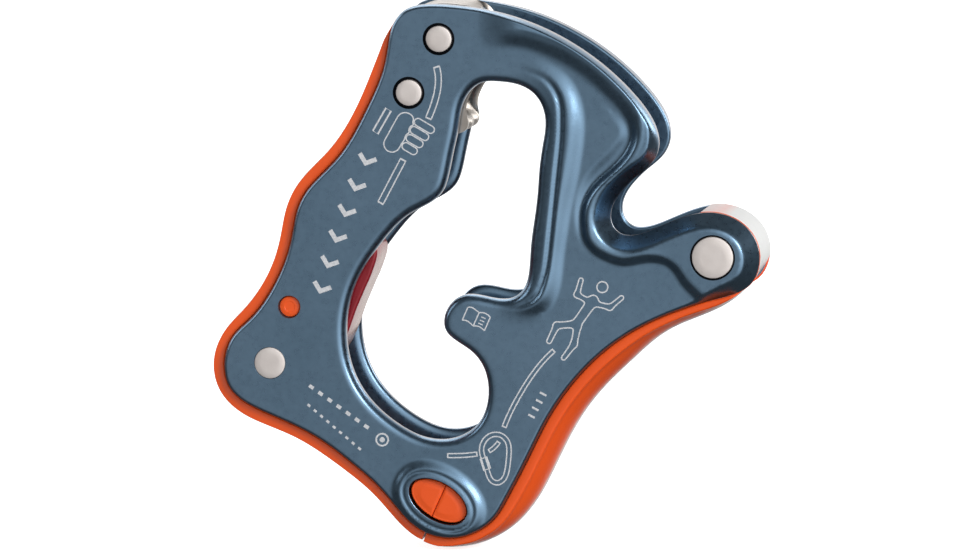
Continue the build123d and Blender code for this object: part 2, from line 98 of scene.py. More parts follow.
# ------------------------------------------------------------------ outlines, "x,z" in mm
def table(text):
    """Rows of comma-joined numbers, parted by blanks."""
    return np.array([[float(n) for n in row.split(",")] for row in text.split()])


PLATE_OUTLINE = table("""
-4.46,69.44 -2.3,71.76 1.3,72.77 5.94,72.81 11.33,72.3 16.49,71.37 21.43,69.96 26.23,68.06
30.83,65.68 35.2,62.87 39.27,59.64 43,56.04 46.02,52.38 47.96,48.67 48.39,45.27 47.05,42.14
43.96,39.26 40.89,36.18 39,32.92 39.01,29.84 40.75,27.86 43.95,27.73 48.25,29.3 53.32,31.39
57.48,32.36 61.29,32.06 64.75,30.48 67.26,27.86 68.44,24.5 68.14,20.88 66.47,18.02 63.32,16.25
58.25,14.8 53.09,13.1 48.2,11.05 43.64,8.62 39.45,5.78 35.62,2.49 32.12,-1.25 28.98,-5.36
26.25,-9.77 23.69,-14.81 21.02,-20.23 18.17,-25.63 15.82,-29.44 12.88,-31.96 9.21,-33.46
5.3,-33.75 1.55,-32.77 -1.69,-30.56 -5.15,-26.74 -8.57,-23.07 -12.82,-19.53 -17.27,-16.17
-21.53,-13.53 -26.27,-11.32 -31.86,-9 -35.78,-6.9 -38.19,-4.31 -39.16,-0.87 -38.77,2.93
-37.14,6.27 -33.87,9.52 -31.06,12.91 -28.52,17.23 -26.57,21.7 -25.33,26.32 -24.27,31.38
-22.6,34.96 -19.57,38.47 -15.9,42.31 -13.17,46.21 -10.63,50.95 -8.2,56.08 -6.57,60.66 -5.63,65.6
""")
SLOT_OUTLINE = table("""
16.36,57.67 20.3,57.11 23.17,55.63 25.06,53.02 25.72,49.75 25.24,45.59 24.56,40.85 24.17,35.61
23.54,30.51 22.85,25.25 22.5,20.47 21.66,17.09 19.71,14.95 16.81,14.4 12.59,15.07 9.25,15.01
6.88,13.46 5.44,10.57 5.69,7.97 7.99,5.72 11.41,3.34 13.35,0.63 14.25,-2.8 14.08,-6.46
12.85,-9.73 10.59,-12.17 7.45,-13.66 3.89,-14.04 0.28,-13.31 -3.33,-11.54 -6.83,-9.03
-9.77,-6.08 -12,-2.75 -13.5,0.99 -14.26,5.04 -14.28,9.22 -13.59,13.39 -12.22,17.37 -10.18,21.11
-7.37,25.01 -4.4,28.54 -1.38,31.08 2.47,33.23 4.95,35.41 6.22,38.59 7.24,43.43 8.3,48.37
9.04,52.57 10.58,55.59 12.94,57.37
""")
# steel insert at the top left, clockwise from its top-left corner
INSERT_OUTLINE = table("""
-2.55,67 -2.4,70.4 0.4,72.2 4.6,72.86 8.2,72.68 10.8,72.15 12.7,70.4 13.7,67.3 14.1,64
13.2,60.8 11.9,57.7 10.4,54.9 9.55,52.2 9.6,49.9 9.1,48.1 7.7,46.9 5.4,46.6 2.4,47.6
-0.8,49.3 -3.7,51.2 -5.2,53.4 -4.7,56.8 -3.4,61.2
""")
# foot of the raised rim round the hook and notch
RIM_GUIDE = table("""
57.95,16.08 56.32,17.66 54.7,19.24 53.28,21.22 51.04,23.19 48.2,23.94 44.95,23.67 41.7,23.19
38.86,23.94 36.42,25.3 34.9,27.28 34.43,29.69 34.43,32.25 35.26,34.95 37.29,37.67 40.34,40.43
43.06,43.51 44.59,46.89 44.59,50.59 43.06,53.91 40.34,57.05 36.97,60.16 33.58,62.61 30.19,64.55
26.13,66.24 22.06,67.4 18.35,67.67 14.89,67.25
""")
# twin ridges to the right of the slot: the one next to it, and the one outside that
NEAR_RIDGE_GUIDE = table("""
18.9,60.05 21.14,59.9 23.37,59.24 25.61,58.28 27.23,56.7 28.35,54.51 28.75,51.29 28.65,46.86
28.04,40.8 27.43,34.74 26.99,30.3 26.42,24.65 25.81,20.61 25,17.77 23.68,15.33 21.54,14.17
18.9,13.71 16.06,13.76
""")
FAR_RIDGE_GUIDE = table("""
21.14,61.61 23.98,61.26 26.62,60.31 29.06,58.75 30.89,56.37 32,53.38 32.41,49.35 31.9,43.7
30.89,37.84 29.77,32.78 29.06,28.33 28.45,24.29 28.04,20.25 27.23,16.21 25.61,13.55 22.76,12.18
19.31,11.91 16.06,12.04
""")
# lower right edge of the sunk floor of the hook
FLOOR_GUIDE = table("""
39.89,51.75 41.58,49.77 41.92,47.76 40.9,45.72 38.87,43.33 36.33,40.76 34.64,38.54 33.62,36.17
33.12,33.81 32.95,31.12 33.29,28.1 33.96,25.77
""")
# plastic shell, from the nose round the bottom to the top left: at y = 0, and at its lips
SHELL_MID = table("""
67.13,20.82 64.36,16.27 60.26,13.02 55.46,10.8 50.66,8.68 46.34,5.79 42.46,2.19 38.65,-1.48
35.08,-5.32 31.98,-9.51 29.34,-14.05 26.98,-18.81 24.66,-23.61 21.99,-28.13 18.47,-31.98
13.92,-34.8 8.76,-36.19 3.52,-35.84 -1.19,-33.68 -5.08,-30.08 -8.64,-26.17 -12.59,-22.68
-16.86,-19.56 -21.23,-16.66 -25.87,-14.18 -30.87,-12.22 -35.68,-10.06 -39.52,-6.69 -41.61,-1.79
-41.17,3.39 -38.53,7.9 -35,11.88 -31.86,16.12 -29.5,20.81 -28.03,25.9 -26.96,31.11 -24.92,35.84
-21.62,39.88 -17.93,43.73 -14.83,48 -12.28,52.61 -10.18,57.45 -8.26,62.37 -6.18,67.22
""")
SHELL_LIP = table("""
67.49,20.69 64.31,16.41 59.94,14.21 54.8,12.66 49.76,10.66 44.93,8.22 40.25,5.13 35.88,1.34
32.04,-2.92 28.77,-7.49 26.01,-12.36 23.65,-17.18 21.3,-21.87 18.85,-26.48 16.45,-30.24
12.95,-33.08 8.47,-34.37 3.98,-33.68 0,-31.9 -3.5,-28.69 -7,-24.65 -11.14,-20.86 -15.41,-17.66
-19.98,-14.61 -24.92,-11.98 -29.94,-10.01 -34.51,-7.96 -37.64,-5.2 -39.23,-1.45 -38.84,2.79
-36.91,6.55 -33.23,10.26 -29.79,14.91 -27.29,19.88 -25.69,25.37 -24.63,30.54 -22.86,34.6
-19.91,38.18 -16.11,42.16 -12.8,46.84 -10.3,51.61 -8,56.55 -6.27,61.95 -5.34,67.05
""")
# section of the shell at each SHELL_MID point: 1 is crowned, 0 is nearly flat
SHELL_CROWN = [1.0] * 16 + [0.71, 0.11] + [0.0] * 26
# "x,z,width" of the rounded or drafted band inside the plate's outer edge
EDGE_BAND = table("""
-4.5,69.4,0.8 6,72.8,0.75 16.5,71.4,0.7 26,68.1,0.65 35.2,62.9,0.7 43,56,0.85 47.5,49.8,1.2
48.4,45.3,1.7 45,40.2,2.3 40.9,36.2,2.7 39,31.4,2.9 41,27.8,2.7 48.2,29.3,2.7 57.5,32.4,2.7
64.8,30.5,2.7 68.4,24.5,2.7 66.5,18,2.7 63.3,16.2,2.5 58.2,14.8,1.5 54.5,13.6,0.9 48.2,11,0.8
35.6,2.5,0.8 23.7,-14.8,0.8 14.5,-31,0.8 1.5,-32.8,0.8 -12.8,-19.5,0.9 -31.9,-9,0.9
-39.1,-0.9,0.9 -31,12.9,0.9 -25,28,0.9 -13.2,46.2,0.9 -6.6,60.7,0.9
""")

# laser marks on the front plate: line width, whether closed, and lines of "x,z" parted by bars
MARK_GROUPS = [
    # small ring below the notch
    (0.28, True, """
38.65,17.46 38.62,17.22 38.54,16.98 38.41,16.77 38.23,16.6 38.02,16.46 37.79,16.38 37.55,16.35
37.3,16.37 37.07,16.44 36.86,16.57 36.69,16.74 36.56,16.94 36.48,17.17 36.45,17.41 36.48,17.65
36.56,17.89 36.69,18.1 36.86,18.27 37.07,18.4 37.3,18.49 37.55,18.52 37.79,18.5 38.02,18.42
38.23,18.3 38.41,18.13 38.54,17.93 38.62,17.7"""),
    # branched figure below the ring, a curved band, two short bands, two nested drop shapes
    # and a small quadrangle, running down the right of the slot
    (0.26, True, """
33.18,19.16 32.94,18.99 32.83,18.71 32.74,18.42 32.66,18.12 32.57,17.83 32.49,17.54 32.4,17.25
32.31,16.96 32.19,16.68 32.06,16.41 31.92,16.13 31.84,15.84 31.89,15.55 32.08,15.32 32.34,15.18
32.63,15.09 32.92,14.99 33.19,14.87 33.46,14.72 33.71,14.56 33.93,14.36 33.96,14.07 33.83,13.79
33.68,13.53 33.51,13.27 33.34,13.02 33.17,12.76 33,12.51 32.83,12.25 32.66,12 32.49,11.75
32.32,11.49 32.13,11.25 31.93,11.01 31.71,10.81 31.44,10.66 31.15,10.57 30.85,10.5 30.55,10.45
30.24,10.41 29.94,10.38 29.64,10.34 29.33,10.32 29.03,10.31 28.73,10.33 28.42,10.33 28.12,10.27
27.87,10.09 27.71,9.84 27.62,9.55 27.56,9.25 27.47,8.96 27.36,8.67 27.24,8.39 27.12,8.12
26.99,7.84 26.87,7.56 26.74,7.28 26.62,7 26.49,6.73 26.4,6.44 26.48,6.15 26.72,5.98 27.02,5.97
27.27,6.14 27.42,6.41 27.55,6.68 27.69,6.95 27.83,7.22 27.97,7.49 28.11,7.77 28.25,8.04 28.4,8.3
28.56,8.56 28.76,8.79 29.02,8.96 29.31,9.04 29.62,9.09 29.92,9.12 30.22,9.15 30.53,9.17
30.83,9.19 31.14,9.19 31.43,9.13 31.66,8.94 31.72,8.65 31.7,8.34 31.66,8.04 31.61,7.75
31.55,7.45 31.49,7.15 31.41,6.85 31.32,6.57 31.21,6.28 31.09,6 30.97,5.72 30.83,5.45 30.67,5.19
30.5,4.94 30.33,4.68 30.15,4.43 29.98,4.18 29.8,3.93 29.62,3.68 29.45,3.43 29.37,3.14 29.47,2.87
29.73,2.72 30.02,2.75 30.25,2.96 30.44,3.2 30.62,3.44 30.81,3.68 31,3.93 31.19,4.17 31.37,4.41
31.57,4.65 31.77,4.88 32,5.08 32.23,5.28 32.44,5.51 32.57,5.78 32.61,6.08 32.62,6.38 32.65,6.68
32.7,6.98 32.77,7.28 32.83,7.57 32.9,7.87 32.98,8.17 33.05,8.46 33.14,8.75 33.24,9.04 33.34,9.33
33.4,9.62 33.5,9.91 33.64,10.18 33.81,10.44 33.98,10.69 34.16,10.93 34.34,11.18 34.52,11.43
34.7,11.68 34.88,11.92 35.06,12.17 35.24,12.42 35.43,12.67 35.61,12.91 35.81,13.14 36.04,13.34
36.33,13.45 36.63,13.45 36.93,13.41 37.23,13.35 37.53,13.29 37.82,13.22 38.11,13.14 38.4,13.03
38.67,12.9 38.96,12.81 39.26,12.84 39.52,13 39.72,13.23 39.91,13.47 40.11,13.7 40.34,13.91
40.56,14.12 40.8,14.32 41.03,14.52 41.26,14.72 41.49,14.92 41.72,15.12 41.83,15.4 41.74,15.68
41.48,15.82 41.19,15.76 40.95,15.57 40.71,15.37 40.47,15.18 40.23,14.98 39.99,14.79 39.75,14.6
39.51,14.42 39.25,14.25 38.97,14.14 38.66,14.1 38.36,14.12 38.06,14.17 37.77,14.24 37.47,14.31
37.19,14.41 36.93,14.57 36.8,14.83 36.71,15.12 36.56,15.38 36.35,15.59 36.08,15.73 35.79,15.79
35.48,15.76 35.2,15.65 34.94,15.49 34.66,15.37 34.36,15.41 34.08,15.53 33.81,15.66 33.55,15.81
33.32,16 33.18,16.26 33.18,16.56 33.23,16.86 33.31,17.15 33.38,17.45 33.46,17.74 33.53,18.04
33.61,18.33 33.69,18.63 33.68,18.92 33.48,19.14
| 27.53,4.84 27.14,4.48 26.76,4.11 26.39,3.74 26.02,3.36 25.67,2.98 25.32,2.59 24.98,2.19
24.65,1.79 24.33,1.38 24.01,0.97 23.7,0.55 23.39,0.13 23.09,-0.3 22.8,-0.72 22.51,-1.16
22.23,-1.59 21.95,-2.03 21.67,-2.47 21.4,-2.91 21.13,-3.36 20.87,-3.8 20.61,-4.25 20.35,-4.7
20.1,-5.15 19.85,-5.61 19.61,-6.06 19.37,-6.52 19.14,-6.99 18.91,-7.45 18.69,-7.92 18.47,-8.39
18.26,-8.86 18.06,-9.34 17.86,-9.82 17.67,-10.3 17.49,-10.79 18.25,-11.05 18.43,-10.58
18.62,-10.1 18.81,-9.64 19.01,-9.17 19.21,-8.71 19.43,-8.24 19.64,-7.79 19.87,-7.33 20.1,-6.88
20.33,-6.42 20.57,-5.97 20.81,-5.53 21.06,-5.08 21.31,-4.64 21.57,-4.2 21.83,-3.76 22.09,-3.32
22.36,-2.88 22.63,-2.45 22.91,-2.02 23.19,-1.59 23.47,-1.16 23.76,-0.74 24.05,-0.33 24.35,0.09
24.65,0.49 24.96,0.89 25.28,1.29 25.6,1.68 25.93,2.07 26.27,2.45 26.61,2.82 26.96,3.19
27.32,3.55 27.69,3.9 28.07,4.24
| 16.43,-13.85 16.14,-14.25 15.82,-14.62 15.47,-14.96 15.09,-15.27 14.67,-15.55 15.05,-16.16
15.52,-15.85 15.95,-15.5 16.34,-15.11 16.71,-14.69 17.04,-14.24
| 12.29,-16.12 11.76,-16.2 11.24,-16.27 10.71,-16.33 10.19,-16.39 9.66,-16.44 9.13,-16.48
8.6,-16.51 8.08,-16.53 7.55,-16.55 7.02,-16.56 6.49,-16.56 6.47,-17.36 7.01,-17.36 7.55,-17.35
8.09,-17.34 8.63,-17.31 9.17,-17.28 9.71,-17.24 10.25,-17.19 10.79,-17.13 11.33,-17.07
11.86,-16.99 12.4,-16.91
| 13.72,-15.7 13.74,-15.32 13.82,-14.94 13.95,-14.57 14.13,-14.21 14.35,-13.88 14.61,-13.59
14.9,-13.34 15.23,-13.14 15.59,-12.99 15.96,-12.9 16.33,-12.88 16.7,-12.93 17.06,-13.04
17.38,-13.22 17.67,-13.45 17.91,-13.74 18.11,-14.06 18.24,-14.41 18.34,-14.78 18.39,-15.19
18.4,-15.61 18.4,-16.04 18.38,-16.47 18.36,-16.9 18.32,-17.34 18.27,-17.77 18.22,-18.21
18.17,-18.64 18.11,-19.07 18.03,-19.49 17.93,-19.91 17.82,-20.32 17.68,-20.69 17.5,-21.03
17.27,-21.32 16.98,-21.56 16.68,-21.71 16.39,-21.75 16.07,-21.69 15.77,-21.54 15.53,-21.31
15.34,-21.01 15.18,-20.65 15.04,-20.24 14.91,-19.82 14.77,-19.4 14.64,-18.98 14.51,-18.56
14.37,-18.14 14.24,-17.72 14.1,-17.3 13.97,-16.88 13.85,-16.47 13.76,-16.08
| 12.85,-15.74 12.88,-15.23 12.98,-14.73 13.15,-14.25 13.37,-13.79 13.66,-13.37 14,-12.98
14.4,-12.64 14.84,-12.37 15.33,-12.17 15.85,-12.05 16.38,-12.02 16.91,-12.09 17.41,-12.25
17.88,-12.5 18.28,-12.83 18.62,-13.22 18.89,-13.66 19.08,-14.13 19.2,-14.62 19.26,-15.1
19.28,-15.58 19.27,-16.04 19.26,-16.5 19.23,-16.95 19.19,-17.4 19.14,-17.85 19.09,-18.29
19.04,-18.74 18.97,-19.19 18.88,-19.65 18.78,-20.1 18.65,-20.57 18.47,-21.03 18.23,-21.49
17.89,-21.91 17.46,-22.28 16.94,-22.53 16.34,-22.62 15.76,-22.51 15.25,-22.25 14.85,-21.86
14.56,-21.42 14.36,-20.96 14.21,-20.52 14.07,-20.09 13.94,-19.67 13.81,-19.25 13.68,-18.84
13.54,-18.42 13.41,-18.01 13.27,-17.58 13.13,-17.15 13,-16.71 12.9,-16.24
| 13.06,-17.51 14.32,-17.04 15.07,-19.28 13.79,-19.75"""),
    # open book shape at the neck of the slot, then the lines on its right side
    (0.24, False, """
10.61,12.85 10.98,12.88 11.33,12.83 11.65,12.68 11.95,12.47 12.25,12.25 12.54,12.04 12.83,11.83
| 12.83,11.83 13.19,11.84 13.55,11.82 13.91,11.75 14.25,11.62 14.55,11.43 14.82,11.2 15.06,10.93
| 9.42,10.24 9.79,10.25 10.15,10.2 10.48,10.06 10.79,9.85 11.08,9.62 11.35,9.38 11.62,9.13
| 11.62,9.13 11.98,9.16 12.35,9.14 12.7,9.06 13.04,8.92 13.34,8.72 13.61,8.49 13.87,8.23
| 10.56,12.87 9.42,10.24 | 12.83,11.83 11.62,9.13 | 15.06,10.93 13.87,8.23"""),
    (0.22, False, "13.24,11 14.12,10.63 | 12.95,10.36 13.83,9.99 | 12.66,9.73 13.54,9.36"),
    # two bands left of the slot, above and below the hand
    (0.26, True, """
3.7,60.41 3.83,59.93 3.93,59.44 4,58.96 4.04,58.47 4.05,57.97 4.04,57.48 4,56.98 3.94,56.48
3.86,55.98 3.77,55.48 3.65,54.98 3.52,54.48 3.37,53.98 3.21,53.48 3.05,52.99 2.87,52.49 2.68,52
2.49,51.52 2.29,51.04 2.09,50.56 3.18,50.13 3.38,50.61 3.58,51.11 3.78,51.61 3.97,52.11
4.16,52.62 4.33,53.14 4.5,53.66 4.65,54.19 4.79,54.72 4.92,55.26 5.02,55.8 5.11,56.35 5.17,56.89
5.21,57.45 5.23,58 5.21,58.55 5.17,59.11 5.09,59.66 4.98,60.22 4.83,60.77
| -3,42.24 -3.24,41.79 -3.48,41.33 -3.72,40.88 -3.96,40.42 -4.21,39.97 -4.45,39.51 -4.69,39.05
-4.93,38.6 -5.17,38.14 -5.41,37.69 -5.65,37.23 -5.88,36.77 -6.12,36.32 -6.36,35.86 -6.6,35.41
-6.84,34.95 -7.08,34.49 -7.31,34.04 -7.55,33.58 -6.51,33.06 -6.27,33.52 -6.03,33.97 -5.79,34.43
-5.56,34.89 -5.32,35.34 -5.08,35.8 -4.84,36.25 -4.6,36.71 -4.36,37.16 -4.12,37.62 -3.88,38.07
-3.65,38.53 -3.41,38.98 -3.16,39.44 -2.92,39.89 -2.68,40.35 -2.44,40.8 -2.2,41.26 -1.96,41.71"""),
    # hand left of the slot: four fingers, palm and cuff
    (0.25, True, """
0.43,50.3 0.12,50.18 -0.12,49.95 -0.23,49.64 -0.2,49.31 -0.03,49.03 0.24,48.85 0.53,48.68
0.82,48.52 1.1,48.36 1.39,48.2 1.68,48.03 1.97,47.87 2.25,47.71 2.54,47.54 2.84,47.39 3.16,47.36
3.48,47.48 3.71,47.71 3.83,48.02 3.8,48.35 3.63,48.63 3.36,48.81 3.07,48.98 2.78,49.14 2.49,49.3
2.21,49.47 1.92,49.63 1.63,49.79 1.35,49.95 1.06,50.12 0.76,50.27
| -0.43,48.67 -0.73,48.54 -0.95,48.29 -1.05,47.98 -1,47.66 -0.82,47.39 -0.55,47.21 -0.27,47.05
0.02,46.89 0.3,46.73 0.59,46.57 0.87,46.41 1.15,46.25 1.44,46.08 1.73,45.95 2.06,45.94
2.37,46.07 2.59,46.31 2.68,46.63 2.64,46.95 2.46,47.22 2.19,47.39 1.9,47.56 1.62,47.72
1.33,47.88 1.05,48.04 0.76,48.2 0.48,48.36 0.19,48.52 -0.1,48.66
| -1.29,47.04 -1.58,46.89 -1.79,46.64 -1.87,46.33 -1.81,46.01 -1.62,45.75 -1.35,45.58
-1.07,45.42 -0.79,45.26 -0.51,45.1 -0.23,44.94 0.06,44.78 0.34,44.63 0.63,44.5 0.96,44.52
1.25,44.66 1.46,44.92 1.54,45.23 1.48,45.54 1.29,45.8 1.02,45.97 0.74,46.13 0.45,46.29
0.17,46.45 -0.11,46.61 -0.39,46.77 -0.67,46.93 -0.97,47.05
| -2.1,45.42 -2.4,45.27 -2.61,45.01 -2.69,44.69 -2.61,44.37 -2.41,44.11 -2.13,43.94 -1.84,43.78
-1.55,43.61 -1.26,43.45 -0.97,43.29 -0.68,43.12 -0.36,43.06 -0.04,43.14 0.22,43.35 0.37,43.65
0.37,43.98 0.23,44.28 -0.03,44.48 -0.32,44.64 -0.6,44.81 -0.89,44.97 -1.18,45.13 -1.47,45.3
-1.77,45.43
| -2.21,51.4 -2.53,51.34 -2.83,51.22 -3.11,51.05 -3.36,50.83 -3.56,50.57 -3.72,50.28 -3.88,49.99
-4.04,49.71 -4.2,49.42 -4.36,49.13 -4.52,48.85 -4.68,48.56 -4.84,48.27 -5,47.99 -5.16,47.7
-5.32,47.41 -5.48,47.13 -5.64,46.84 -5.8,46.56 -5.96,46.27 -6.12,45.98 -6.26,45.69 -6.34,45.37
-6.36,45.05 -6.31,44.73 -6.2,44.42 -6.04,44.15 -5.82,43.91 -5.56,43.72 -5.26,43.59 -4.95,43.52
-4.62,43.5 -4.3,43.56 -3.99,43.67 -3.71,43.84 -3.46,44.06 -3.27,44.33 -3.1,44.61 -2.93,44.89
-2.81,45.19 -2.6,45.44 -2.41,45.71 -2.24,45.99 -2.13,46.29 -2.08,46.61 -1.94,46.9 -1.7,47.13
-1.43,47.3 -1.26,47.58 -1.32,47.9 -1.27,48.22 -1.12,48.51 -0.89,48.75 -0.6,48.89 -0.39,49.09
-0.49,49.39 -0.48,49.71 -0.38,50.02 -0.39,50.32 -0.54,50.61 -0.73,50.86 -0.98,51.08 -1.25,51.24
-1.56,51.35 -1.88,51.41
| -4.92,51.66 -5.93,52.26 -8.57,47.67 -7.56,47.05"""),
    # six bent strokes down the left side
    (0.90, False, """
-7.86,42.01 -10.03,41.2 -11.22,43.14 | -10,36.85 -12.17,36.04 -13.36,37.97
| -12.02,31.69 -14.2,30.88 -15.39,32.82 | -13.87,26.53 -16.05,25.72 -17.24,27.66
| -15.54,21.38 -17.72,20.57 -18.9,22.51 | -17.1,16.23 -19.27,15.42 -20.46,17.36"""),
    # two rows of dashes at the lower left
    (0.72, False, """
-21.57,-3.55 -20.71,-4.14 | -19.71,-4.83 -18.85,-5.43 | -17.85,-6.12 -16.99,-6.71
| -15.99,-7.41 -15.13,-8 | -14.13,-8.69 -13.27,-9.29 | -12.26,-9.98 -11.41,-10.57
| -10.4,-11.27 -9.54,-11.86"""),
    (0.50, False, """
-21.91,-7.36 -21.39,-7.8 | -20.63,-8.42 -20.11,-8.85 | -19.35,-9.48 -18.82,-9.91
| -18.07,-10.53 -17.54,-10.96 | -16.79,-11.59 -16.26,-12.02 | -15.5,-12.64 -14.98,-13.08
| -14.22,-13.7 -13.7,-14.13 | -12.94,-14.75 -12.41,-15.19 | -11.66,-15.81 -11.13,-16.24"""),
    # ring and its centre dot below the slot
    (0.34, True, """
-5.57,-14.07 -5.59,-14.31 -5.66,-14.54 -5.77,-14.75 -5.92,-14.93 -6.11,-15.09 -6.32,-15.2
-6.55,-15.28 -6.79,-15.31 -7.02,-15.29 -7.25,-15.22 -7.46,-15.12 -7.65,-14.97 -7.8,-14.79
-7.91,-14.58 -7.98,-14.36 -8,-14.12 -7.98,-13.89 -7.91,-13.66 -7.8,-13.45 -7.65,-13.26
-7.46,-13.11 -7.25,-12.99 -7.02,-12.92 -6.79,-12.89 -6.55,-12.91 -6.32,-12.97 -6.11,-13.08
-5.92,-13.22 -5.77,-13.4 -5.66,-13.61 -5.59,-13.84"""),
    (0.50, True, """
-6.5,-14.09 -6.54,-14.23 -6.64,-14.34 -6.79,-14.38 -6.93,-14.34 -7.03,-14.24 -7.07,-14.1
-7.03,-13.96 -6.93,-13.86 -6.79,-13.82 -6.64,-13.85 -6.54,-13.95"""),
    # four ticks near the right edge
    (0.42, False, """
22.71,-8.32 24,-8.97 | 23.49,-6.83 24.78,-7.48 | 24.28,-5.34 25.57,-5.99
| 25.06,-3.84 26.36,-4.49"""),
]
MARKS = [(table(line), width, closed)
         for width, closed, text in MARK_GROUPS for line in text.split("|")]


# ------------------------------------------------------------------ curves in the XZ plane
def cubic(points, closed):
    """Cubic spline with chord-length knots: returns its function and the knots."""
    p = np.vstack([points, points[:1]]) if closed else points
    h = np.hypot(*np.diff(p, axis=0).T)
    knots = np.concatenate([[0], np.cumsum(h)])
    n = len(h)
    slope = np.diff(p, axis=0) / h[:, None]
    size = n if closed else n + 1
    a = np.zeros((size, size))
    b = np.zeros((size, 2))
    for i in range(0 if closed else 1, n):
        a[i, i - 1] += h[i - 1]
        a[i, i] += 2 * (h[i - 1] + h[i])
        a[i, (i + 1) % size] += h[i]
        b[i] = 6 * (slope[i] - slope[i - 1])
    if not closed:
        a[0, 0] = a[n, n] = 1
    m = np.linalg.solve(a, b)
    if closed:
        m = np.vstack([m, m[:1]])

    def curve(u):
        if closed:
            u = np.mod(u, knots[-1])
        k = np.clip(np.searchsorted(knots, u, side="right") - 1, 0, n - 1)
        x = (u - knots[k])[:, None]
        hk = h[k][:, None]
        return (m[k] * (hk - x) ** 3 + m[k + 1] * x ** 3) / (6 * hk) \
            + (p[k] / hk - m[k] * hk / 6) * (hk - x) + (p[k + 1] / hk - m[k + 1] * hk / 6) * x
    return curve, knots


def arc_length(line):
    return np.concatenate([[0], np.cumsum(np.hypot(*np.diff(line, axis=0).T))])


def at_lengths(line, lengths, wanted):
    return np.stack([np.interp(wanted, lengths, line[:, k]) for k in (0, 1)], 1)


def even(points, count, closed=True):
    """Points at even arc length along the spline."""
    curve, knots = cubic(points, closed)
    u = np.linspace(0, knots[-1], count * 12 + 1)
    line = curve(np.minimum(u, knots[-1] - 1e-9) if closed else u)
    s = arc_length(line)
    wanted = np.linspace(0, s[-1], count + 1)[:-1] if closed else np.linspace(0, s[-1], count)
    return at_lengths(line, s, wanted)


def unit(vectors):
    return vectors / np.maximum(np.hypot(vectors[:, 0], vectors[:, 1]), 1e-9)[:, None]


def normals_of(line, closed=True):
    """Unit normals, pointing left of the direction of travel."""
    if closed:
        d = unit(np.roll(line, -1, 0) - np.roll(line, 1, 0))
    else:
        d = unit(np.gradient(line, axis=0))
    return np.stack([-d[:, 1], d[:, 0]], 1)


def inside(points, loop):
    """Even-odd test of points against a closed polygon."""
    x, z = points[:, 0], points[:, 1]
    result = np.zeros(len(points), bool)
    for (x0, z0), (x1, z1) in zip(loop, np.roll(loop, -1, 0)):
        if z0 == z1:
            continue
        spans = (z0 > z) != (z1 > z)
        result ^= spans & (x < (x1 - x0) * (z - z0) / (z1 - z0) + x0)
    return result


def inward_normals(loop):
    n = normals_of(loop)
    return n if inside(loop[:1] + n[:1] * 0.2, loop)[0] else -n


def nearest(points, line, closed=True):
    """Distance to a polyline, index of the nearest segment, and side (+1 is left)."""
    start = line if closed else line[:-1]
    run = (np.roll(line, -1, 0) if closed else line[1:]) - start
    length2 = np.maximum((run ** 2).sum(1), 1e-12)
    dist = np.empty(len(points))
    index = np.empty(len(points), int)
    side = np.empty(len(points))
    chunk = 2000    # limits the memory taken
    for i in range(0, len(points), chunk):
        to = points[i:i + chunk][:, None, :] - start[None]
        t = np.clip((to * run[None]).sum(2) / length2[None], 0, 1)
        d2 = ((to - t[..., None] * run[None]) ** 2).sum(2)
        k = d2.argmin(1)
        r = np.arange(len(k))
        dist[i:i + chunk] = np.sqrt(d2[r, k])
        index[i:i + chunk] = k
        cross = run[k, 0] * to[r, k, 1] - run[k, 1] * to[r, k, 0]
        side[i:i + chunk] = np.where(cross >= 0, 1.0, -1.0)
    return dist, index, side


def distance(points, line, closed=True):
    return nearest(points, line, closed)[0]


def smooth(t):
    """Smooth step from 0 at t = 0 to 1 at t = 1."""
    t = np.clip(t, 0, 1)
    return t * t * (3 - 2 * t)


def circle(centre, radius, count=64):
    t = np.linspace(0, 2 * np.pi, count, endpoint=False)
    return np.stack([centre[0] + radius * np.cos(t), centre[1] + radius * np.sin(t)], 1)


def oval_loop(grow, count=96):
    """The window's oval, grown by a distance."""
    t = np.linspace(0, 2 * np.pi, count, endpoint=False)
    u, v = (WINDOW_LONG + grow) * np.cos(t), (WINDOW_SHORT + grow) * np.sin(t)
    return np.stack([WINDOW[0] + u * WINDOW_COS - v * WINDOW_SIN,
                     WINDOW[1] + u * WINDOW_SIN + v * WINDOW_COS], 1)


def window_axes(points):
    """Coordinates along the long and short axes of the window."""
    x, z = (points - WINDOW).T
    return x * WINDOW_COS + z * WINDOW_SIN, -x * WINDOW_SIN + z * WINDOW_COS


def split_side(points):
    """Distance past the button's split, + towards the right shell."""
    from_centre = points - WINDOW
    return from_centre[..., 0] * SPLIT_NORMAL[0] + from_centre[..., 1] * SPLIT_NORMAL[1]


def hex_grid(low, high, spacing):
    rows = int((high[1] - low[1]) / (spacing * 0.866)) + 1
    out = []
    for r in range(rows):
        x = np.arange(low[0] + (spacing / 2 if r % 2 else 0), high[0], spacing)
        out.append(np.stack([x, np.full(len(x), low[1] + r * spacing * 0.866)], 1))
    return np.vstack(out)


def stroke_outlines(line, width, closed):
    """Outlines of a drawn line: two loops if it is closed, otherwise one."""
    normal = normals_of(line, closed)
    # mitre, so corners keep the line's width
    if closed:
        after = unit(np.roll(line, -1, 0) - line)
        before = np.roll(after, 1, 0)
    else:
        run = unit(np.diff(line, axis=0))
        before, after = np.vstack([run[:1], run]), np.vstack([run, run[-1:]])
    cosine = np.clip((before * after).sum(1), -1, 1)
    normal = normal / np.sqrt(np.clip((1 + cosine) / 2, 0.25, 1))[:, None]
    left, right = line + normal * width / 2, line - normal * width / 2
    return [left, right] if closed else [np.vstack([left, right[::-1]])]


def lift(line, y):
    """Points (x, z) set at y."""
    return np.stack([line[:, 0], np.full(len(line), y), line[:, 1]], 1)


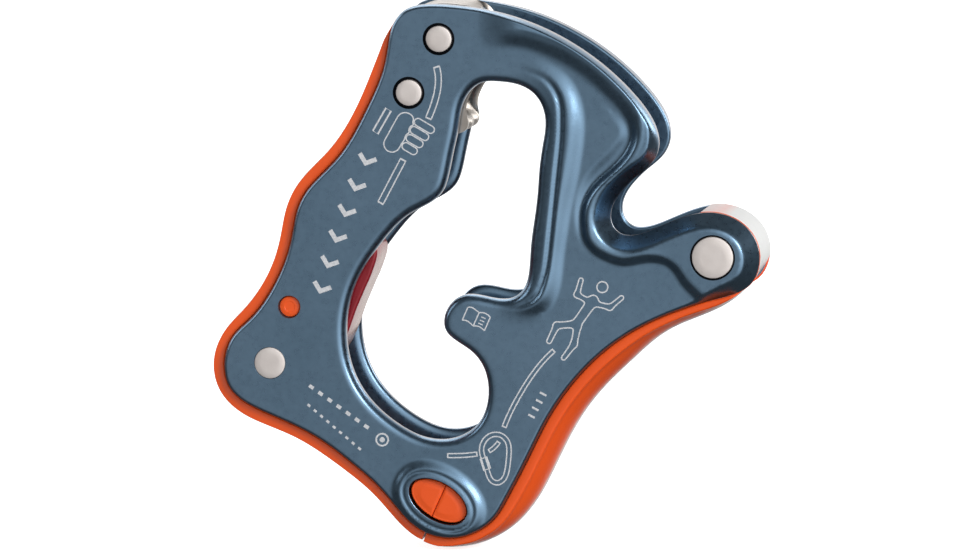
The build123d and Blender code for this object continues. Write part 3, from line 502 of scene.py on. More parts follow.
# ------------------------------------------------------------------ meshes
def make(name, verts, faces, materials, bare_and_shade=None, sharp_angle=None):
    """Smooth-shaded object from vertices in mm."""
    mesh = bpy.data.meshes.new(name)
    verts = np.asarray(verts, float) * MM
    mesh.from_pydata(verts.tolist(), [], [list(map(int, f)) for f in faces])
    mesh.validate()
    mesh.update()
    ob = bpy.data.objects.new(name, mesh)
    bpy.context.scene.collection.objects.link(ob)
    mesh.shade_smooth()
    for material in materials:
        mesh.materials.append(material)
    if bare_and_shade is not None:
        attribute = mesh.attributes.new("bare_and_shade", "FLOAT", "POINT")
        attribute.data.foreach_set("value", np.asarray(bare_and_shade, np.float32))
    if sharp_angle is not None:
        mesh.set_sharp_from_angle(angle=math.radians(sharp_angle))
    return ob


def tidy(ob):
    """Drops loose vertices, welds doubles, closes small gaps, turns faces outward."""
    bm = bmesh.new()
    bm.from_mesh(ob.data)
    loose = [v for v in bm.verts if not v.link_faces]
    bmesh.ops.delete(bm, geom=loose, context="VERTS")
    bmesh.ops.remove_doubles(bm, verts=bm.verts, dist=2e-6)
    gaps = [e for e in bm.edges if e.is_boundary]
    if gaps:
        bmesh.ops.holes_fill(bm, edges=gaps, sides=8)
    bmesh.ops.recalc_face_normals(bm, faces=bm.faces)
    bm.to_mesh(ob.data)
    bm.free()


class Build:
    """Collects vertices with their value for bare metal and painted shade, and faces."""

    def __init__(self):
        self.verts, self.faces, self.bare_and_shade = [], [], []
        self.count = 0

    def add(self, points, bare_and_shade=0.0):
        ids = np.arange(self.count, self.count + len(points))
        self.verts.append(points)
        self.bare_and_shade.append(np.zeros(len(points)) + bare_and_shade)
        self.count += len(points)
        return ids

    def bridge(self, p, q):
        """Faces between two rings; either may be a single point."""
        m = max(len(p), len(q))
        for i in range(m):
            j = (i + 1) % m
            if len(p) == 1:
                self.faces.append((p[0], q[j], q[i]))
            elif len(q) == 1:
                self.faces.append((p[i], p[j], q[0]))
            else:
                self.faces.append((p[i], p[j], q[j], q[i]))

    def finish(self, name, material, sharp_angle=None):
        ob = make(name, np.vstack(self.verts), self.faces, [material], sharp_angle=sharp_angle)
        tidy(ob)
        return ob


def loft(name, rings, material, sharp_angle):
    """Surface through a run of closed rings, with flat caps."""
    build = Build()
    ids = [build.add(r) for r in rings]
    for p, q in zip(ids[:-1], ids[1:]):
        build.bridge(p, q)
    build.faces += [tuple(ids[0][::-1]), tuple(ids[-1])]
    return build.finish(name, material, sharp_angle)


def lathe(name, centre, profile, material, count, sharp_angle):
    """Solid of revolution about an axis along Y; profile (radius, y) starts and ends on it."""
    build = Build()
    previous = None
    for radius, y in profile:
        if radius < 1e-6:
            ring = build.add(np.array([[centre[0], y, centre[1]]]))
        else:
            ring = build.add(lift(circle(centre, radius, count), y))
        if previous is not None and max(len(previous), len(ring)) > 1:
            build.bridge(previous, ring)
        previous = ring
    return build.finish(name, material, sharp_angle)


def fill(outer, holes, points, extra=()):
    """Triangulates inside outer and outside holes, through the points and the extra loops.

    Returns triangles and coordinates: outer, holes, points, extra loops, then any crossings."""
    loops = [outer] + holes
    coords = np.vstack(loops + [points] + list(extra))
    edges = []

    def add_edges(start, m):
        edges.extend((start + i, start + (i + 1) % m) for i in range(m))
        return start + m
    n = 0
    for loop in loops:
        n = add_edges(n, len(loop))
    n += len(points)
    for loop in extra:
        n = add_edges(n, len(loop))
    result = geometry.delaunay_2d_cdt([Vector(p) for p in coords], edges, [], 0, 1e-7)
    verts, faces, origins = result[0], result[2], result[3]
    source, crossings = [], []
    for k, origin in enumerate(origins):
        if origin:
            source.append(origin[0])
        else:
            source.append(len(coords) + len(crossings))
            crossings.append(tuple(verts[k]))
    if crossings:
        coords = np.vstack([coords, np.array(crossings)])
    tri = np.array([[source[i] for i in f] for f in faces])
    centres = coords[tri].mean(1)
    keep = inside(centres, outer)
    for hole in holes:
        keep &= ~inside(centres, hole)
    tri = tri[keep]
    a, b, c = coords[tri[:, 0]], coords[tri[:, 1]], coords[tri[:, 2]]
    area = (b[:, 0] - a[:, 0]) * (c[:, 1] - a[:, 1]) - (b[:, 1] - a[:, 1]) * (c[:, 0] - a[:, 0])
    tri[area < 0] = tri[area < 0][:, ::-1]
    return tri[np.abs(area) > 1e-8], coords


def register(ob, node):
    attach(ob, "frame")
    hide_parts(node)


# ------------------------------------------------------------------ faces of the side plates
OUTER_EDGE = even(PLATE_OUTLINE, 900)
SLOT_EDGE = even(SLOT_OUTLINE, 520)
# both point into the metal
OUTER_INWARD = inward_normals(OUTER_EDGE)
SLOT_INWARD = -inward_normals(SLOT_EDGE)


def station(point):
    """Index of the outer edge point nearest to a point."""
    return int(((OUTER_EDGE - point) ** 2).sum(1).argmin())


def spread_band():
    """Band width at every point of the outer edge."""
    at = np.array([station(p) for p in EDGE_BAND[:, :2]])
    order = np.argsort(at)
    at = at[order]
    n = len(OUTER_EDGE)
    widths = np.tile(EDGE_BAND[order, 2], 3)
    return np.interp(np.arange(n), np.concatenate([at - n, at, at + n]), widths)


BAND_WIDTH = spread_band()
DRAFT = smooth((BAND_WIDTH - 1.1) / 0.8)    # 0 where the band is round, 1 where it is flat

RIM_LINE = even(RIM_GUIDE, 260, closed=False)
NEAR_RIDGE = even(NEAR_RIDGE_GUIDE, 260, closed=False)
FAR_RIDGE = even(FAR_RIDGE_GUIDE, 260, closed=False)
FLOOR_LINE = even(FLOOR_GUIDE, 160, closed=False)


def relief(points):
    """Height of the forging above its flat, mm."""
    x, z = points[:, 0], points[:, 1]
    # raised rim of the hook and notch, run out into the nose boss; its flank widens up the
    # hook and at the nose, and the rim fades out at the top left
    dist, _, side = nearest(points, RIM_LINE, closed=False)
    past = -dist * side                     # + towards the rim
    flank = 1.9 + 2.1 * smooth((z - 43.0) / 15.0) + 0.5 * smooth((x - 50.0) / 6.0)
    fade_in = smooth((x - 12.5) / 8.0)
    rise = smooth(0.5 + (past + 0.35 * flank) / flank)
    # low bead along the crest
    bead = 0.13 * np.exp(-((past - 0.15 * flank - 0.30) / 0.42) ** 2)
    bead = bead * smooth((44.0 - x) / 6.0 + 1.2)
    # floor of the hook, sunk a little, fading at both ends of its edge
    dist, _, side = nearest(points, FLOOR_LINE, closed=False)
    fade = smooth((z - 24.0) / 9.0) * smooth((54.5 - z) / 10.0)
    valley = smooth(0.5 - (-dist * side - 0.1) / 2.2) * fade * smooth((6.0 - dist) / 3.0)
    height = RIM_HEIGHT * fade_in * rise + bead * fade_in - 0.55 * valley * (1 - rise)
    # twin ridges along the slot, on a low base that climbs from the slot's edge
    dist, index, side = nearest(points, NEAR_RIDGE, closed=False)
    past_near = dist * side
    along = index / float(len(NEAR_RIDGE) - 1)
    ends = smooth(along / 0.30) * smooth((1 - along) / 0.16)
    near_slot = ends * smooth((9.0 - dist) / 2.0)
    dist, _, side = nearest(points, FAR_RIDGE, closed=False)
    past_far = dist * side
    outer_fall = 1 - smooth((past_far + 1.5) / 3.2)
    climb = np.clip(distance(points, SLOT_EDGE) / 3.3, 0, 1) ** 0.9
    base = 0.42 * outer_fall * climb
    near = 0.66 * (1 - smooth((past_near + 0.40) / 0.95)) * climb
    far = 0.85 * smooth((past_near - 0.30) / 1.25) * outer_fall
    ridge = (base + near + far) * near_slot * (past_far < 6)
    height = height + ridge * (1 - smooth(rise / 0.8))
    # mound round the window, with a shallow groove in its top
    u, v = window_axes(points)
    ratio = np.hypot(u / WINDOW_LONG, v / WINDOW_SHORT)
    slope = np.hypot(u / WINDOW_LONG ** 2, v / WINDOW_SHORT ** 2)
    out = np.clip((ratio - 1) * ratio / np.maximum(slope, 1e-6), -0.5, 12)    # about mm outside
    mound = 0.92 * (1 - smooth((out - 1.55) / 2.2))
    return height + (mound - 0.30 * np.exp(-((out - 1.25) / 0.33) ** 2))


def edge_profile(t, draft):
    """0 at the parting line, 1 on the flat; a quarter round or a straight draft."""
    t = np.clip(t, 0, 3)
    power = 2.3     # squareness of the round
    rounded = (1 - (1 - np.clip(t, 0, 1)) ** power) ** (1 / power)
    rounded = np.where(t < 1, rounded, 1.0)
    # straight slope blended into the flat over a short width
    straight, blend = t * 0.97, 0.16
    h = np.clip(0.5 + 0.5 * (1 - straight) / blend, 0, 1)
    straight = np.where(t > 1.5, 1.0, (1 - h) + straight * h - blend * h * (1 - h))
    return rounded * (1 - draft) + straight * draft


def outer_face(points):
    """Distance of the plate's outer face from the middle plane."""
    from_edge, k, _ = nearest(points, OUTER_EDGE)
    edge = edge_profile(from_edge / BAND_WIDTH[k], DRAFT[k])
    edge = edge * edge_profile(distance(points, SLOT_EDGE) / 1.75, 0.0)
    return PARTING + (FLAT_FACE + relief(points) - PARTING) * edge


def inner_face(points):
    edge = edge_profile(distance(points, OUTER_EDGE) / 0.35, 0.0)
    edge = edge * edge_profile(distance(points, SLOT_EDGE) / 1.9, 0.0)
    return PARTING - (PARTING - INNER_FACE) * edge


def reach_of(edge, limit, gap=0.45):
    """How far the rings along an edge may reach in before they meet a hole."""
    reach = np.zeros(len(edge)) + limit
    for (x, z), bore in HOLES:
        clear = np.hypot(edge[:, 0] - x, edge[:, 1] - z) - bore[0][0] - gap
        reach = np.minimum(reach, clear)
    reach = np.minimum(reach, distance(edge, oval_loop(WINDOW_BORE[0][0])) - gap)
    # lowest value nearby, then a running mean
    n = len(reach)
    w = n // 60
    low = np.array([reach[np.arange(i - w, i + w + 1) % n].min() for i in range(n)])
    kernel = np.ones(2 * w + 1) / (2 * w + 1)
    return np.convolve(np.concatenate([low[-w:], low, low[:w]]), kernel, "valid")


# ------------------------------------------------------------------ side plates
def outer_rings(build, edge, inward, steps, limit):
    """Rings of the outer face along an edge: (vertex ids, line) for each step in."""
    reach = reach_of(edge, limit) / steps[-1]
    rings = []
    for d in steps:
        line = edge + inward * (d * reach)[:, None]
        bare_and_shade = 1.0 if d == 0.0 else (0.35 if d <= 0.05 else 0.0)
        if edge is OUTER_EDGE and d > 0.05:
            # painted shade: the draft inside the notch is painted dark, down to near black
            deep = smooth((d - 0.05) / 0.3) * (1 - smooth((d - 1.9) / 0.9))
            from_notch = ((line - (41.0, 33.0)) / (6.0, 7.5)) ** 2
            bare_and_shade = -0.72 * deep * np.exp(-from_notch[:, 0] - from_notch[:, 1])
        rings.append((build.add(lift(line, -outer_face(line)), bare_and_shade), line))
    return rings


def inner_rings(build, edge, inward, steps):
    lines = [edge + inward * d for d in steps]
    return [(build.add(lift(line, -inner_face(line))), line) for line in lines]


def hole_walls(build):
    """Walls of the holes and the window: mouth and inner loops, as (ids, line)."""
    # the second value is the painted shade of each inner loop: -1, near black, for the holes, none
    # for the window
    walls = [([(circle(centre, r), depth) for r, depth in bore], -1.0) for centre, bore in HOLES]
    walls.append(([(oval_loop(grow), depth) for grow, depth in WINDOW_BORE], 0.0))
    mouths, inner_loops = [], []
    for wall, inner_shade in walls:
        previous = None
        for loop, depth in wall:
            if depth == 0.0:
                top = outer_face(loop)
            # painted shade: the hole and window walls below the mouth's edge get -1, painted near
            # black
            ids = build.add(lift(loop, -(top - depth)), -1.0 if depth > 0.1 else 0.0)
            if previous is None:
                mouths.append((ids, loop))
            else:
                build.bridge(previous, ids)
            previous = ids
        ids = build.add(lift(loop, -INNER_FACE), inner_shade)
        build.bridge(previous, ids)
        inner_loops.append((ids, loop))
    return mouths, inner_loops


def clear_of(grid, lines, gap):
    """Grid points inside the first line, outside the others and a gap away from all."""
    grid = grid[inside(grid, lines[0])]
    for line in lines[1:]:
        grid = grid[~inside(grid, line)]
    for line in lines:
        grid = grid[distance(grid, line) > gap]
    return grid


def outer_grid(outline):
    """Coarse grid, finer at the upper right and round the window, with rings round holes."""
    fine = 0.62
    low, high = outline.min(0), outline.max(0)
    upper_right = 12
    patch = (11, 9)      # half sizes of the window's patch
    coarse = hex_grid(low, high, 1.6)
    coarse = coarse[~((coarse[:, 0] > upper_right) & (coarse[:, 1] > upper_right))]
    coarse = coarse[~(abs(coarse - WINDOW) < patch).all(1)]
    rings = [circle(centre, bore[0][0] + r, 56) for centre, bore in HOLES for r in (0.32, 0.75)]
    return np.vstack([coarse, hex_grid((upper_right, upper_right), high, fine * 0.75),
                      hex_grid(WINDOW - patch, WINDOW + patch, fine * 0.62)] + rings)


def fill_outer(build, boundary):
    """Outer face within its boundary; returns the indices of the faces under the marks."""
    lines = [line for _, line in boundary]
    grid = clear_of(outer_grid(lines[0]), lines, 0.25)
    for line, width, closed in MARKS:
        grid = grid[distance(grid, line, closed) > width / 2 + 0.16]
    outlines = [stroke_outlines(*mark) for mark in MARKS]
    tri, coords = fill(lines[0], lines[1:], grid, [o for pair in outlines for o in pair])
    rest = coords[sum(map(len, lines)):]
    ids = np.concatenate([i for i, _ in boundary] + [build.add(lift(rest, -outer_face(rest)))])
    centres = coords[tri].mean(1)
    marked = np.zeros(len(centres), bool)
    for pair in outlines:
        covered = np.zeros(len(centres), bool)
        for outline in pair:
            covered ^= inside(centres, outline)
        marked |= covered
    first = len(build.faces)
    build.faces += [tuple(t) for t in ids[tri]]
    return first + np.where(marked)[0]


def fill_inner(build, boundary):
    lines = [line for _, line in boundary]
    grid = clear_of(hex_grid(lines[0].min(0), lines[0].max(0), 2.4), lines, 0.8)
    tri, coords = fill(lines[0], lines[1:], grid)
    rest = coords[sum(map(len, lines)):]
    ids = np.concatenate([i for i, _ in boundary] + [build.add(lift(rest, -inner_face(rest)))])
    build.faces += [tuple(t[::-1]) for t in ids[tri]]


def sharpen(ob, mouths):
    """Hard edges by angle, and always round the mouths of the holes."""
    mesh = ob.data
    mesh.set_sharp_from_angle(angle=math.radians(62))
    mouth = np.zeros(len(mesh.vertices), int)
    for k, (ids, _) in enumerate(mouths):
        mouth[ids] = k + 1
    for edge in mesh.edges:
        a, b = edge.vertices
        if mouth[a] and mouth[a] == mouth[b]:
            edge.use_edge_sharp = True


def make_plates(plate_material, mark_material):
    build = Build()
    outer_limit = 1.6 + 1.4 * smooth((BAND_WIDTH - 1.0) / 0.6)
    outer = outer_rings(build, OUTER_EDGE, OUTER_INWARD, OUTER_STEPS, outer_limit)
    slot = outer_rings(build, SLOT_EDGE, SLOT_INWARD, SLOT_STEPS, 2.2)
    # the inner face starts from the same two rings on the parting line
    outer_back = outer[:1] + inner_rings(build, OUTER_EDGE, OUTER_INWARD, EDGE_STEPS[1:5] + [0.6])
    slot_back = slot[:1] + inner_rings(build, SLOT_EDGE, SLOT_INWARD, EDGE_STEPS[1:])
    for run in (outer, slot, outer_back, slot_back):
        for (p, _), (q, _) in zip(run[:-1], run[1:]):
            build.bridge(p, q)
    mouths, inner_loops = hole_walls(build)
    marked = fill_outer(build, [outer[-1], slot[-1]] + mouths)
    fill_inner(build, [outer_back[-1], slot_back[-1]] + inner_loops)
    verts, faces, bare_and_shade = np.vstack(build.verts), build.faces, np.concatenate(build.bare_and_shade)

    front = make("side_plate_front", verts, faces, [plate_material, mark_material], bare_and_shade)
    for i in marked:
        front.data.polygons[i].material_index = 1
    # the rear plate is the mirror image, without marks
    mirrored = [tuple(reversed(f)) for f in faces]
    rear = make("side_plate_rear", verts * (1, -1, 1), mirrored, [plate_material], bare_and_shade)
    for ob in (front, rear):
        tidy(ob)
        sharpen(ob, mouths)
    return front, rear


# ------------------------------------------------------------------ shader helpers
class Nodes:
    """A node tree, emptied, with short ways to add nodes."""

    def __init__(self, tree):
        self.tree = tree
        tree.nodes.clear()

    def add(self, kind, inputs=None, **settings):
        new = self.tree.nodes.new("ShaderNode" + kind)
        for key, value in settings.items():
            setattr(new, key, value)
        self.feed(new, inputs or {})
        return new

    def feed(self, target, inputs):
        """Links sockets, or sets plain values."""
        for key, value in inputs.items():
            if hasattr(value, "node"):
                self.tree.links.new(value, target.inputs[key])
            else:
                target.inputs[key].default_value = value

    def position(self, scale=(1, 1, 1)):
        source = self.add("TexCoord").outputs["Object"]
        return self.add("Mapping", {0: source, "Scale": scale}).outputs[0]

    def axes(self):
        source = self.add("TexCoord").outputs["Object"]
        return self.add("SeparateXYZ", {0: source}).outputs

    def noise(self, position, scale, detail=3.0, roughness=0.5):
        return self.add("TexNoise", {"Vector": position, "Scale": scale, "Detail": detail,
                                     "Roughness": roughness}).outputs["Fac"]

    def ramp(self, value, low, high, span=(0.3, 0.7)):
        """Blend between two colours over a span of the value."""
        new = self.add("ValToRGB", {0: value})
        for stop, place, colour in zip(new.color_ramp.elements, span, (low, high)):
            stop.position = place
            stop.color = (*colour, 1)
        return new.outputs[0]

    def remap(self, value, to, span=(0.3, 0.7), kind="LINEAR"):
        return self.add("MapRange", {"Value": value, "From Min": span[0], "From Max": span[1],
                                     "To Min": to[0], "To Max": to[1]},
                        interpolation_type=kind).outputs[0]

    def mix(self, factor, a, b, blend="MIX"):
        a, b = [(*c, 1) if isinstance(c, tuple) else c for c in (a, b)]
        return self.add("Mix", {0: factor, 6: a, 7: b}, data_type="RGBA",
                        blend_type=blend).outputs[2]

    def math(self, operation, a, b=0.0, clamp=False):
        return self.add("Math", {0: a, 1: b}, operation=operation, use_clamp=clamp).outputs[0]

    def dot(self, a, b):
        return self.add("VectorMath", {0: a, 1: b}, operation="DOT_PRODUCT").outputs["Value"]

    def bump(self, height, strength, distance, under=None):
        inputs = {"Height": height, "Strength": strength, "Distance": distance}
        if under is not None:
            inputs["Normal"] = under
        return self.add("Bump", inputs).outputs[0]

    def grazing(self, span, amount):
        """amount where seen almost edge-on, falling to 0 across the span of the facing ratio."""
        view = self.add("NewGeometry").outputs
        facing = self.math("ABSOLUTE", self.dot(view["Incoming"], view["Normal"]))
        return self.remap(facing, to=(amount, 0.0), span=span, kind="SMOOTHSTEP")


class Material(Nodes):
    """A new material with one principled shader."""

    def __init__(self, name):
        self.material = bpy.data.materials.new(name)
        self.material.use_nodes = True
        super().__init__(self.material.node_tree)
        output = self.add("OutputMaterial")
        self.shader = self.add("BsdfPrincipled")
        self.feed(output, {0: self.shader.outputs[0]})

    def finish(self, inputs):
        self.feed(self.shader, inputs)
        return self.material


# ------------------------------------------------------------------ materials
def anodised():
    m = Material("blue_grey_anodised")
    position = m.position()
    mottle = m.noise(position, scale=55.0, roughness=0.55)
    grain = m.noise(position, scale=900.0, roughness=0.6)
    fine = m.noise(position, scale=5200.0, detail=2.0, roughness=0.6)
    colour = m.ramp(mottle, (0.142, 0.228, 0.318), (0.168, 0.262, 0.362), span=(0.30, 0.72))
    speck = m.ramp(grain, (0.94, 0.95, 0.96), (1.03, 1.03, 1.03))
    colour = m.mix(1.0, colour, speck, blend="MULTIPLY")
    # bare metal hairline on the parting line
    bare_and_shade = m.add("Attribute", attribute_name="bare_and_shade").outputs["Fac"]
    wear = m.noise(position, scale=180.0, roughness=0.6)
    wear = m.remap(wear, to=(0.55, 1.0), span=(0.2, 0.6))
    colour = m.mix(m.math("MULTIPLY", bare_and_shade, wear, clamp=True), colour, (0.50, 0.44, 0.41))
    # negative values are painted shade, near black: the gaps round the rivets and the button, and the
    # notch
    painted_shade = m.math("MULTIPLY", bare_and_shade, -1.0, clamp=True)
    colour = m.mix(painted_shade, colour, (0.006, 0.007, 0.010))
    rough = 0.31
    roughness = m.math("ADD", m.remap(grain, to=(rough - 0.05, rough + 0.05)),
                       m.remap(fine, to=(-0.02, 0.02)))
    return m.finish({"Base Color": colour, "Metallic": 0.96, "Roughness": roughness})


def plastic():
    m = Material("orange_plastic")
    position = m.position()
    mottle = m.noise(position, scale=60.0, detail=2.0)
    fine = m.noise(position, scale=3800.0, detail=2.0, roughness=0.55)
    grain = m.noise(position, scale=420.0, roughness=0.6)
    colour = m.ramp(mottle, (0.86, 0.095, 0.012), (0.92, 0.110, 0.015))
    # painted reflection: pale where it turns away, as if catching the bright surround, and more so at
    # the nose (x in metres)
    grazing_sheen = m.grazing(span=(0.08, 0.24), amount=0.80)
    at_nose = m.remap(m.axes()[0], to=(0.0, 1.0), span=(0.0575, 0.0625))
    nose_sheen = m.grazing(span=(0.20, 0.40), amount=0.97)
    nose_sheen = m.math("MULTIPLY", nose_sheen, at_nose, clamp=True)
    colour = m.mix(m.math("MAXIMUM", grazing_sheen, nose_sheen), colour, (0.72, 0.75, 0.74))
    fine_bump = m.bump(fine, strength=0.16, distance=0.00003)
    return m.finish({
        "Base Color": colour,
        "Roughness": m.remap(grain, to=(0.30, 0.40)),
        "Specular IOR Level": 0.35,
        "Normal": m.bump(grain, strength=0.06, distance=0.0001, under=fine_bump)})


def polished_steel():
    m = Material("polished_insert_steel")
    streak = m.noise(m.position(scale=(1, 0.12, 1)), scale=1500.0, detail=4.0, roughness=0.65)
    mottle = m.noise(m.position(), scale=160.0)
    return m.finish({
        "Base Color": m.ramp(mottle, (0.34, 0.305, 0.27), (0.52, 0.475, 0.43)),
        "Metallic": 1.0,
        "Roughness": m.remap(streak, to=(0.26, 0.42)),
        "Normal": m.bump(streak, strength=0.12, distance=0.00006)})


def turned(name, centre, low, high, rough):
    """Steel faced in a lathe: fine rings about an axis along Y."""
    pitch = 0.00016
    m = Material(name)
    axes = m.axes()
    squares = []
    for axis, place in ((axes[0], centre[0]), (axes[2], centre[1])):
        offset = m.math("SUBTRACT", axis, place * MM)
        squares.append(m.math("MULTIPLY", offset, offset))
    radius = m.math("SQRT", m.math("ADD", *squares))
    ring = m.math("SINE", m.math("MULTIPLY", radius, 2 * math.pi / pitch))
    position = m.position()
    grain = m.noise(position, scale=2600.0, detail=4.0, roughness=0.6)
    mottle = m.noise(position, scale=260.0)
    height = m.math("ADD", m.math("MULTIPLY", ring, 0.25), grain)
    return m.finish({
        "Base Color": m.ramp(mottle, low, high),
        "Metallic": 0.75,
        "Roughness": m.remap(grain, to=(rough - 0.06, rough + 0.08)),
        "Normal": m.bump(height, strength=0.10, distance=0.00003)})


def red_anodised():
    m = Material("red_anodised")
    position = m.position()
    mottle = m.noise(position, scale=120.0)
    fine = m.noise(position, scale=4200.0, detail=2.0)
    colour = m.ramp(mottle, (0.22, 0.004, 0.012), (0.29, 0.007, 0.017))
    # painted reflection: the band that turns away is painted paler, growing paler from front to back
    # (y in metres)
    to_back = m.remap(m.axes()[1], to=(0.30, 1.0), span=(-0.0058, -0.0005))
    grazing_sheen = m.grazing(span=(0.10, 0.26), amount=0.72)
    grazing_sheen = m.math("MULTIPLY", grazing_sheen, to_back, clamp=True)
    eased = m.add("Bevel", {"Radius": 0.00035}).outputs[0]
    return m.finish({
        "Base Color": m.mix(grazing_sheen, colour, (0.44, 0.31, 0.23)),
        "Metallic": 0.2,
        "Roughness": m.remap(mottle, to=(0.22, 0.32)),
        "Coat Weight": 0.15,
        "Coat Roughness": 0.1,
        "Normal": m.bump(fine, strength=0.10, distance=0.00003, under=eased)})


def wire_steel():
    m = Material("spring_wire")
    grain = m.noise(m.position(), scale=1800.0, detail=4.0, roughness=0.6)
    return m.finish({
        "Base Color": m.ramp(grain, (0.28, 0.28, 0.30), (0.48, 0.48, 0.50)),
        "Metallic": 1.0,
        "Roughness": m.remap(grain, to=(0.22, 0.38)),
        "Normal": m.bump(grain, strength=0.1, distance=0.00004)})


def etched():
    m = Material("laser_mark")
    grain = m.noise(m.position(), scale=2400.0, roughness=0.6)
    return m.finish({
        "Base Color": m.ramp(grain, (0.52, 0.54, 0.57), (0.74, 0.75, 0.77)),
        "Roughness": m.remap(grain, to=(0.55, 0.75)),
        "Normal": m.bump(grain, strength=0.15, distance=0.00003)})


def paper():
    """Pale and glowing to the camera, dark to every other ray."""
    m = Material("pale_paper")
    grain = m.noise(m.position(), scale=40.0, detail=4.0, roughness=0.6)
    seen = m.add("LightPath").outputs["Is Camera Ray"]
    sheet = m.ramp(grain, (0.78, 0.78, 0.78), (0.80, 0.80, 0.80))
    return m.finish({
        "Base Color": m.mix(seen, (0.10, 0.10, 0.10), sheet),
        "Roughness": 0.9,
        "Specular IOR Level": 0.1,
        "Emission Strength": m.math("MULTIPLY", seen, 0.80),
        "Emission Color": (1, 1, 1, 1)})


PLATE = anodised()
ORANGE = plastic()
INSERT_STEEL = polished_steel()
LEVER_RED = red_anodised()
WIRE = wire_steel()
MARK = etched()

front_plate, rear_plate = make_plates(PLATE, MARK)
register(front_plate, "front_plate")
register(rear_plate, "rear_plate")


# ------------------------------------------------------------------ edge shells
def running_mean(values, width):
    """Two passes of a running mean, with the end values held."""
    kernel = np.ones(width) / width
    p = np.concatenate([np.full(width, values[0]), values, np.full(width, values[-1])])
    return np.convolve(np.convolve(p, kernel, "same"), kernel, "same")[width:-width]


def offsets_from_plate(guide):
    """Samples of a guide line: nearest station, distance beyond the plate, parameter, knots."""
    curve, knots = cubic(guide, False)
    u = np.linspace(0, knots[-1], 1500)
    line = curve(u)
    dist, index, _ = nearest(line, OUTER_EDGE)
    return index, dist * np.where(inside(line, OUTER_EDGE), -1.0, 1.0), u, knots


def shell_section(mid, lip, lip_y, wall, crown, seam):
    """Closed section as (distance beyond the plate edge, y), from the wall at -Y to +Y."""
    r = min(0.55, max(0.12, 0.55 * (lip + 0.1)))    # rounding of the lip

    def beyond(y):
        t = y / LIP
        share = crown * (1 - 0.80 * t ** 2.6) + (1 - crown) * (1 - 0.12 * t ** 8)
        return lip + (mid - lip) * share - seam
    half = [(beyond(y), y) for y in np.linspace(0, lip_y - r, 15)]
    d = beyond(lip_y - r)
    for a in np.linspace(0, math.pi / 2, 7)[1:]:
        half.append((d - r + r * math.cos(a), lip_y - r + r * math.sin(a)))
    # over the lip, down to the plate's inner face and in along it to the wall
    edge = min(0.30, max(0.06, d - r - 0.02))
    half += [(edge, lip_y), (max(edge - 0.14, 0.035), lip_y - 0.10), (0.02, lip_y - 0.34),
             (0.015, INNER_FACE + 0.02), (-wall * 0.5, INNER_FACE), (-wall + 0.3, INNER_FACE),
             (-wall, INNER_FACE - 0.3), (-wall, INNER_FACE * 0.5)]
    return np.array([(d, -y) for d, y in half[::-1]] + half[1:])


def make_shells():
    n = len(OUTER_EDGE)
    start, stop = station((56.6, 32.25)), station((-4.5, 70.0))
    if stop < start:
        stop += n
    ids = np.arange(start, stop + 1)

    def averaged(index, values):
        """Mean value at each station that has any."""
        stations, which = np.unique(np.where(index < start, index + n, index),
                                    return_inverse=True)
        return stations, np.bincount(which, values) / np.bincount(which)

    mid_index, mid_offset, u, knots = offsets_from_plate(SHELL_MID)
    lip_index, lip_offset, _, _ = offsets_from_plate(SHELL_LIP)
    stations, values = averaged(mid_index, mid_offset)
    mid = running_mean(np.interp(ids, stations, values, left=0.12), 9)
    # before the first SHELL_MID station both run thin over the nose
    lip = np.interp(ids, *averaged(lip_index, lip_offset), left=0.12)
    lip = running_mean(np.where(ids < stations[0], 0.10, lip), 9)
    crown = averaged(mid_index, np.interp(u, knots, SHELL_CROWN))
    crown = np.interp(ids, *crown, left=1.0, right=0.0)
    base = OUTER_EDGE[ids % n]
    outward = -OUTER_INWARD[ids % n]
    # the lip is lower where the shell is thin; the top left end tapers away
    low_lip = 7.35
    lip_y = low_lip + (LIP - low_lip) * smooth((mid - 0.25) / 0.9)
    tail = smooth(np.arange(len(ids))[::-1] / 13.0)
    mid, lip = mid * tail, lip * tail
    # wall inside the plate edge: thicker at the nose, thinner at the lever's pivot
    to_nose, to_pivot = [np.hypot(base[:, 0] - x, base[:, 1] - z)
                         for x, z in (NOSE_AXIS, LEVER_PIVOT)]
    wall = np.where(to_nose < 12, 3.95, 3.1)
    wall = running_mean(np.where(to_pivot < 14, 2.6, wall), 15)
    # the shells part where the button's split line meets the bottom edge
    side = split_side(base)
    bottom = base[:, 1] < -20
    cut = int(np.where(bottom[:-1] & (side[:-1] * side[1:] <= 0))[0][0]) + 1
    pieces = []
    for name, first, last in (("edge_shell_right", 0, cut), ("edge_shell_left", cut, len(ids))):
        rings = []
        for i in range(first, last):
            left = first == cut
            from_cut = i - cut if left else cut - 1 - i
            # the left shell is a little thinner at the seam
            thinner = 0.16 * math.exp(-from_cut / 60.0) if left else 0.0
            section = shell_section(mid[i] - thinner, lip[i] - thinner * 0.6, lip_y[i], wall[i],
                                    crown[i], seam={0: 0.06, 1: 0.02}.get(from_cut, 0.0))
            rings.append(lift(base[i] + outward[i] * section[:, :1], section[:, 1]))
        pieces.append(loft(name, rings, ORANGE, sharp_angle=40))
    return pieces


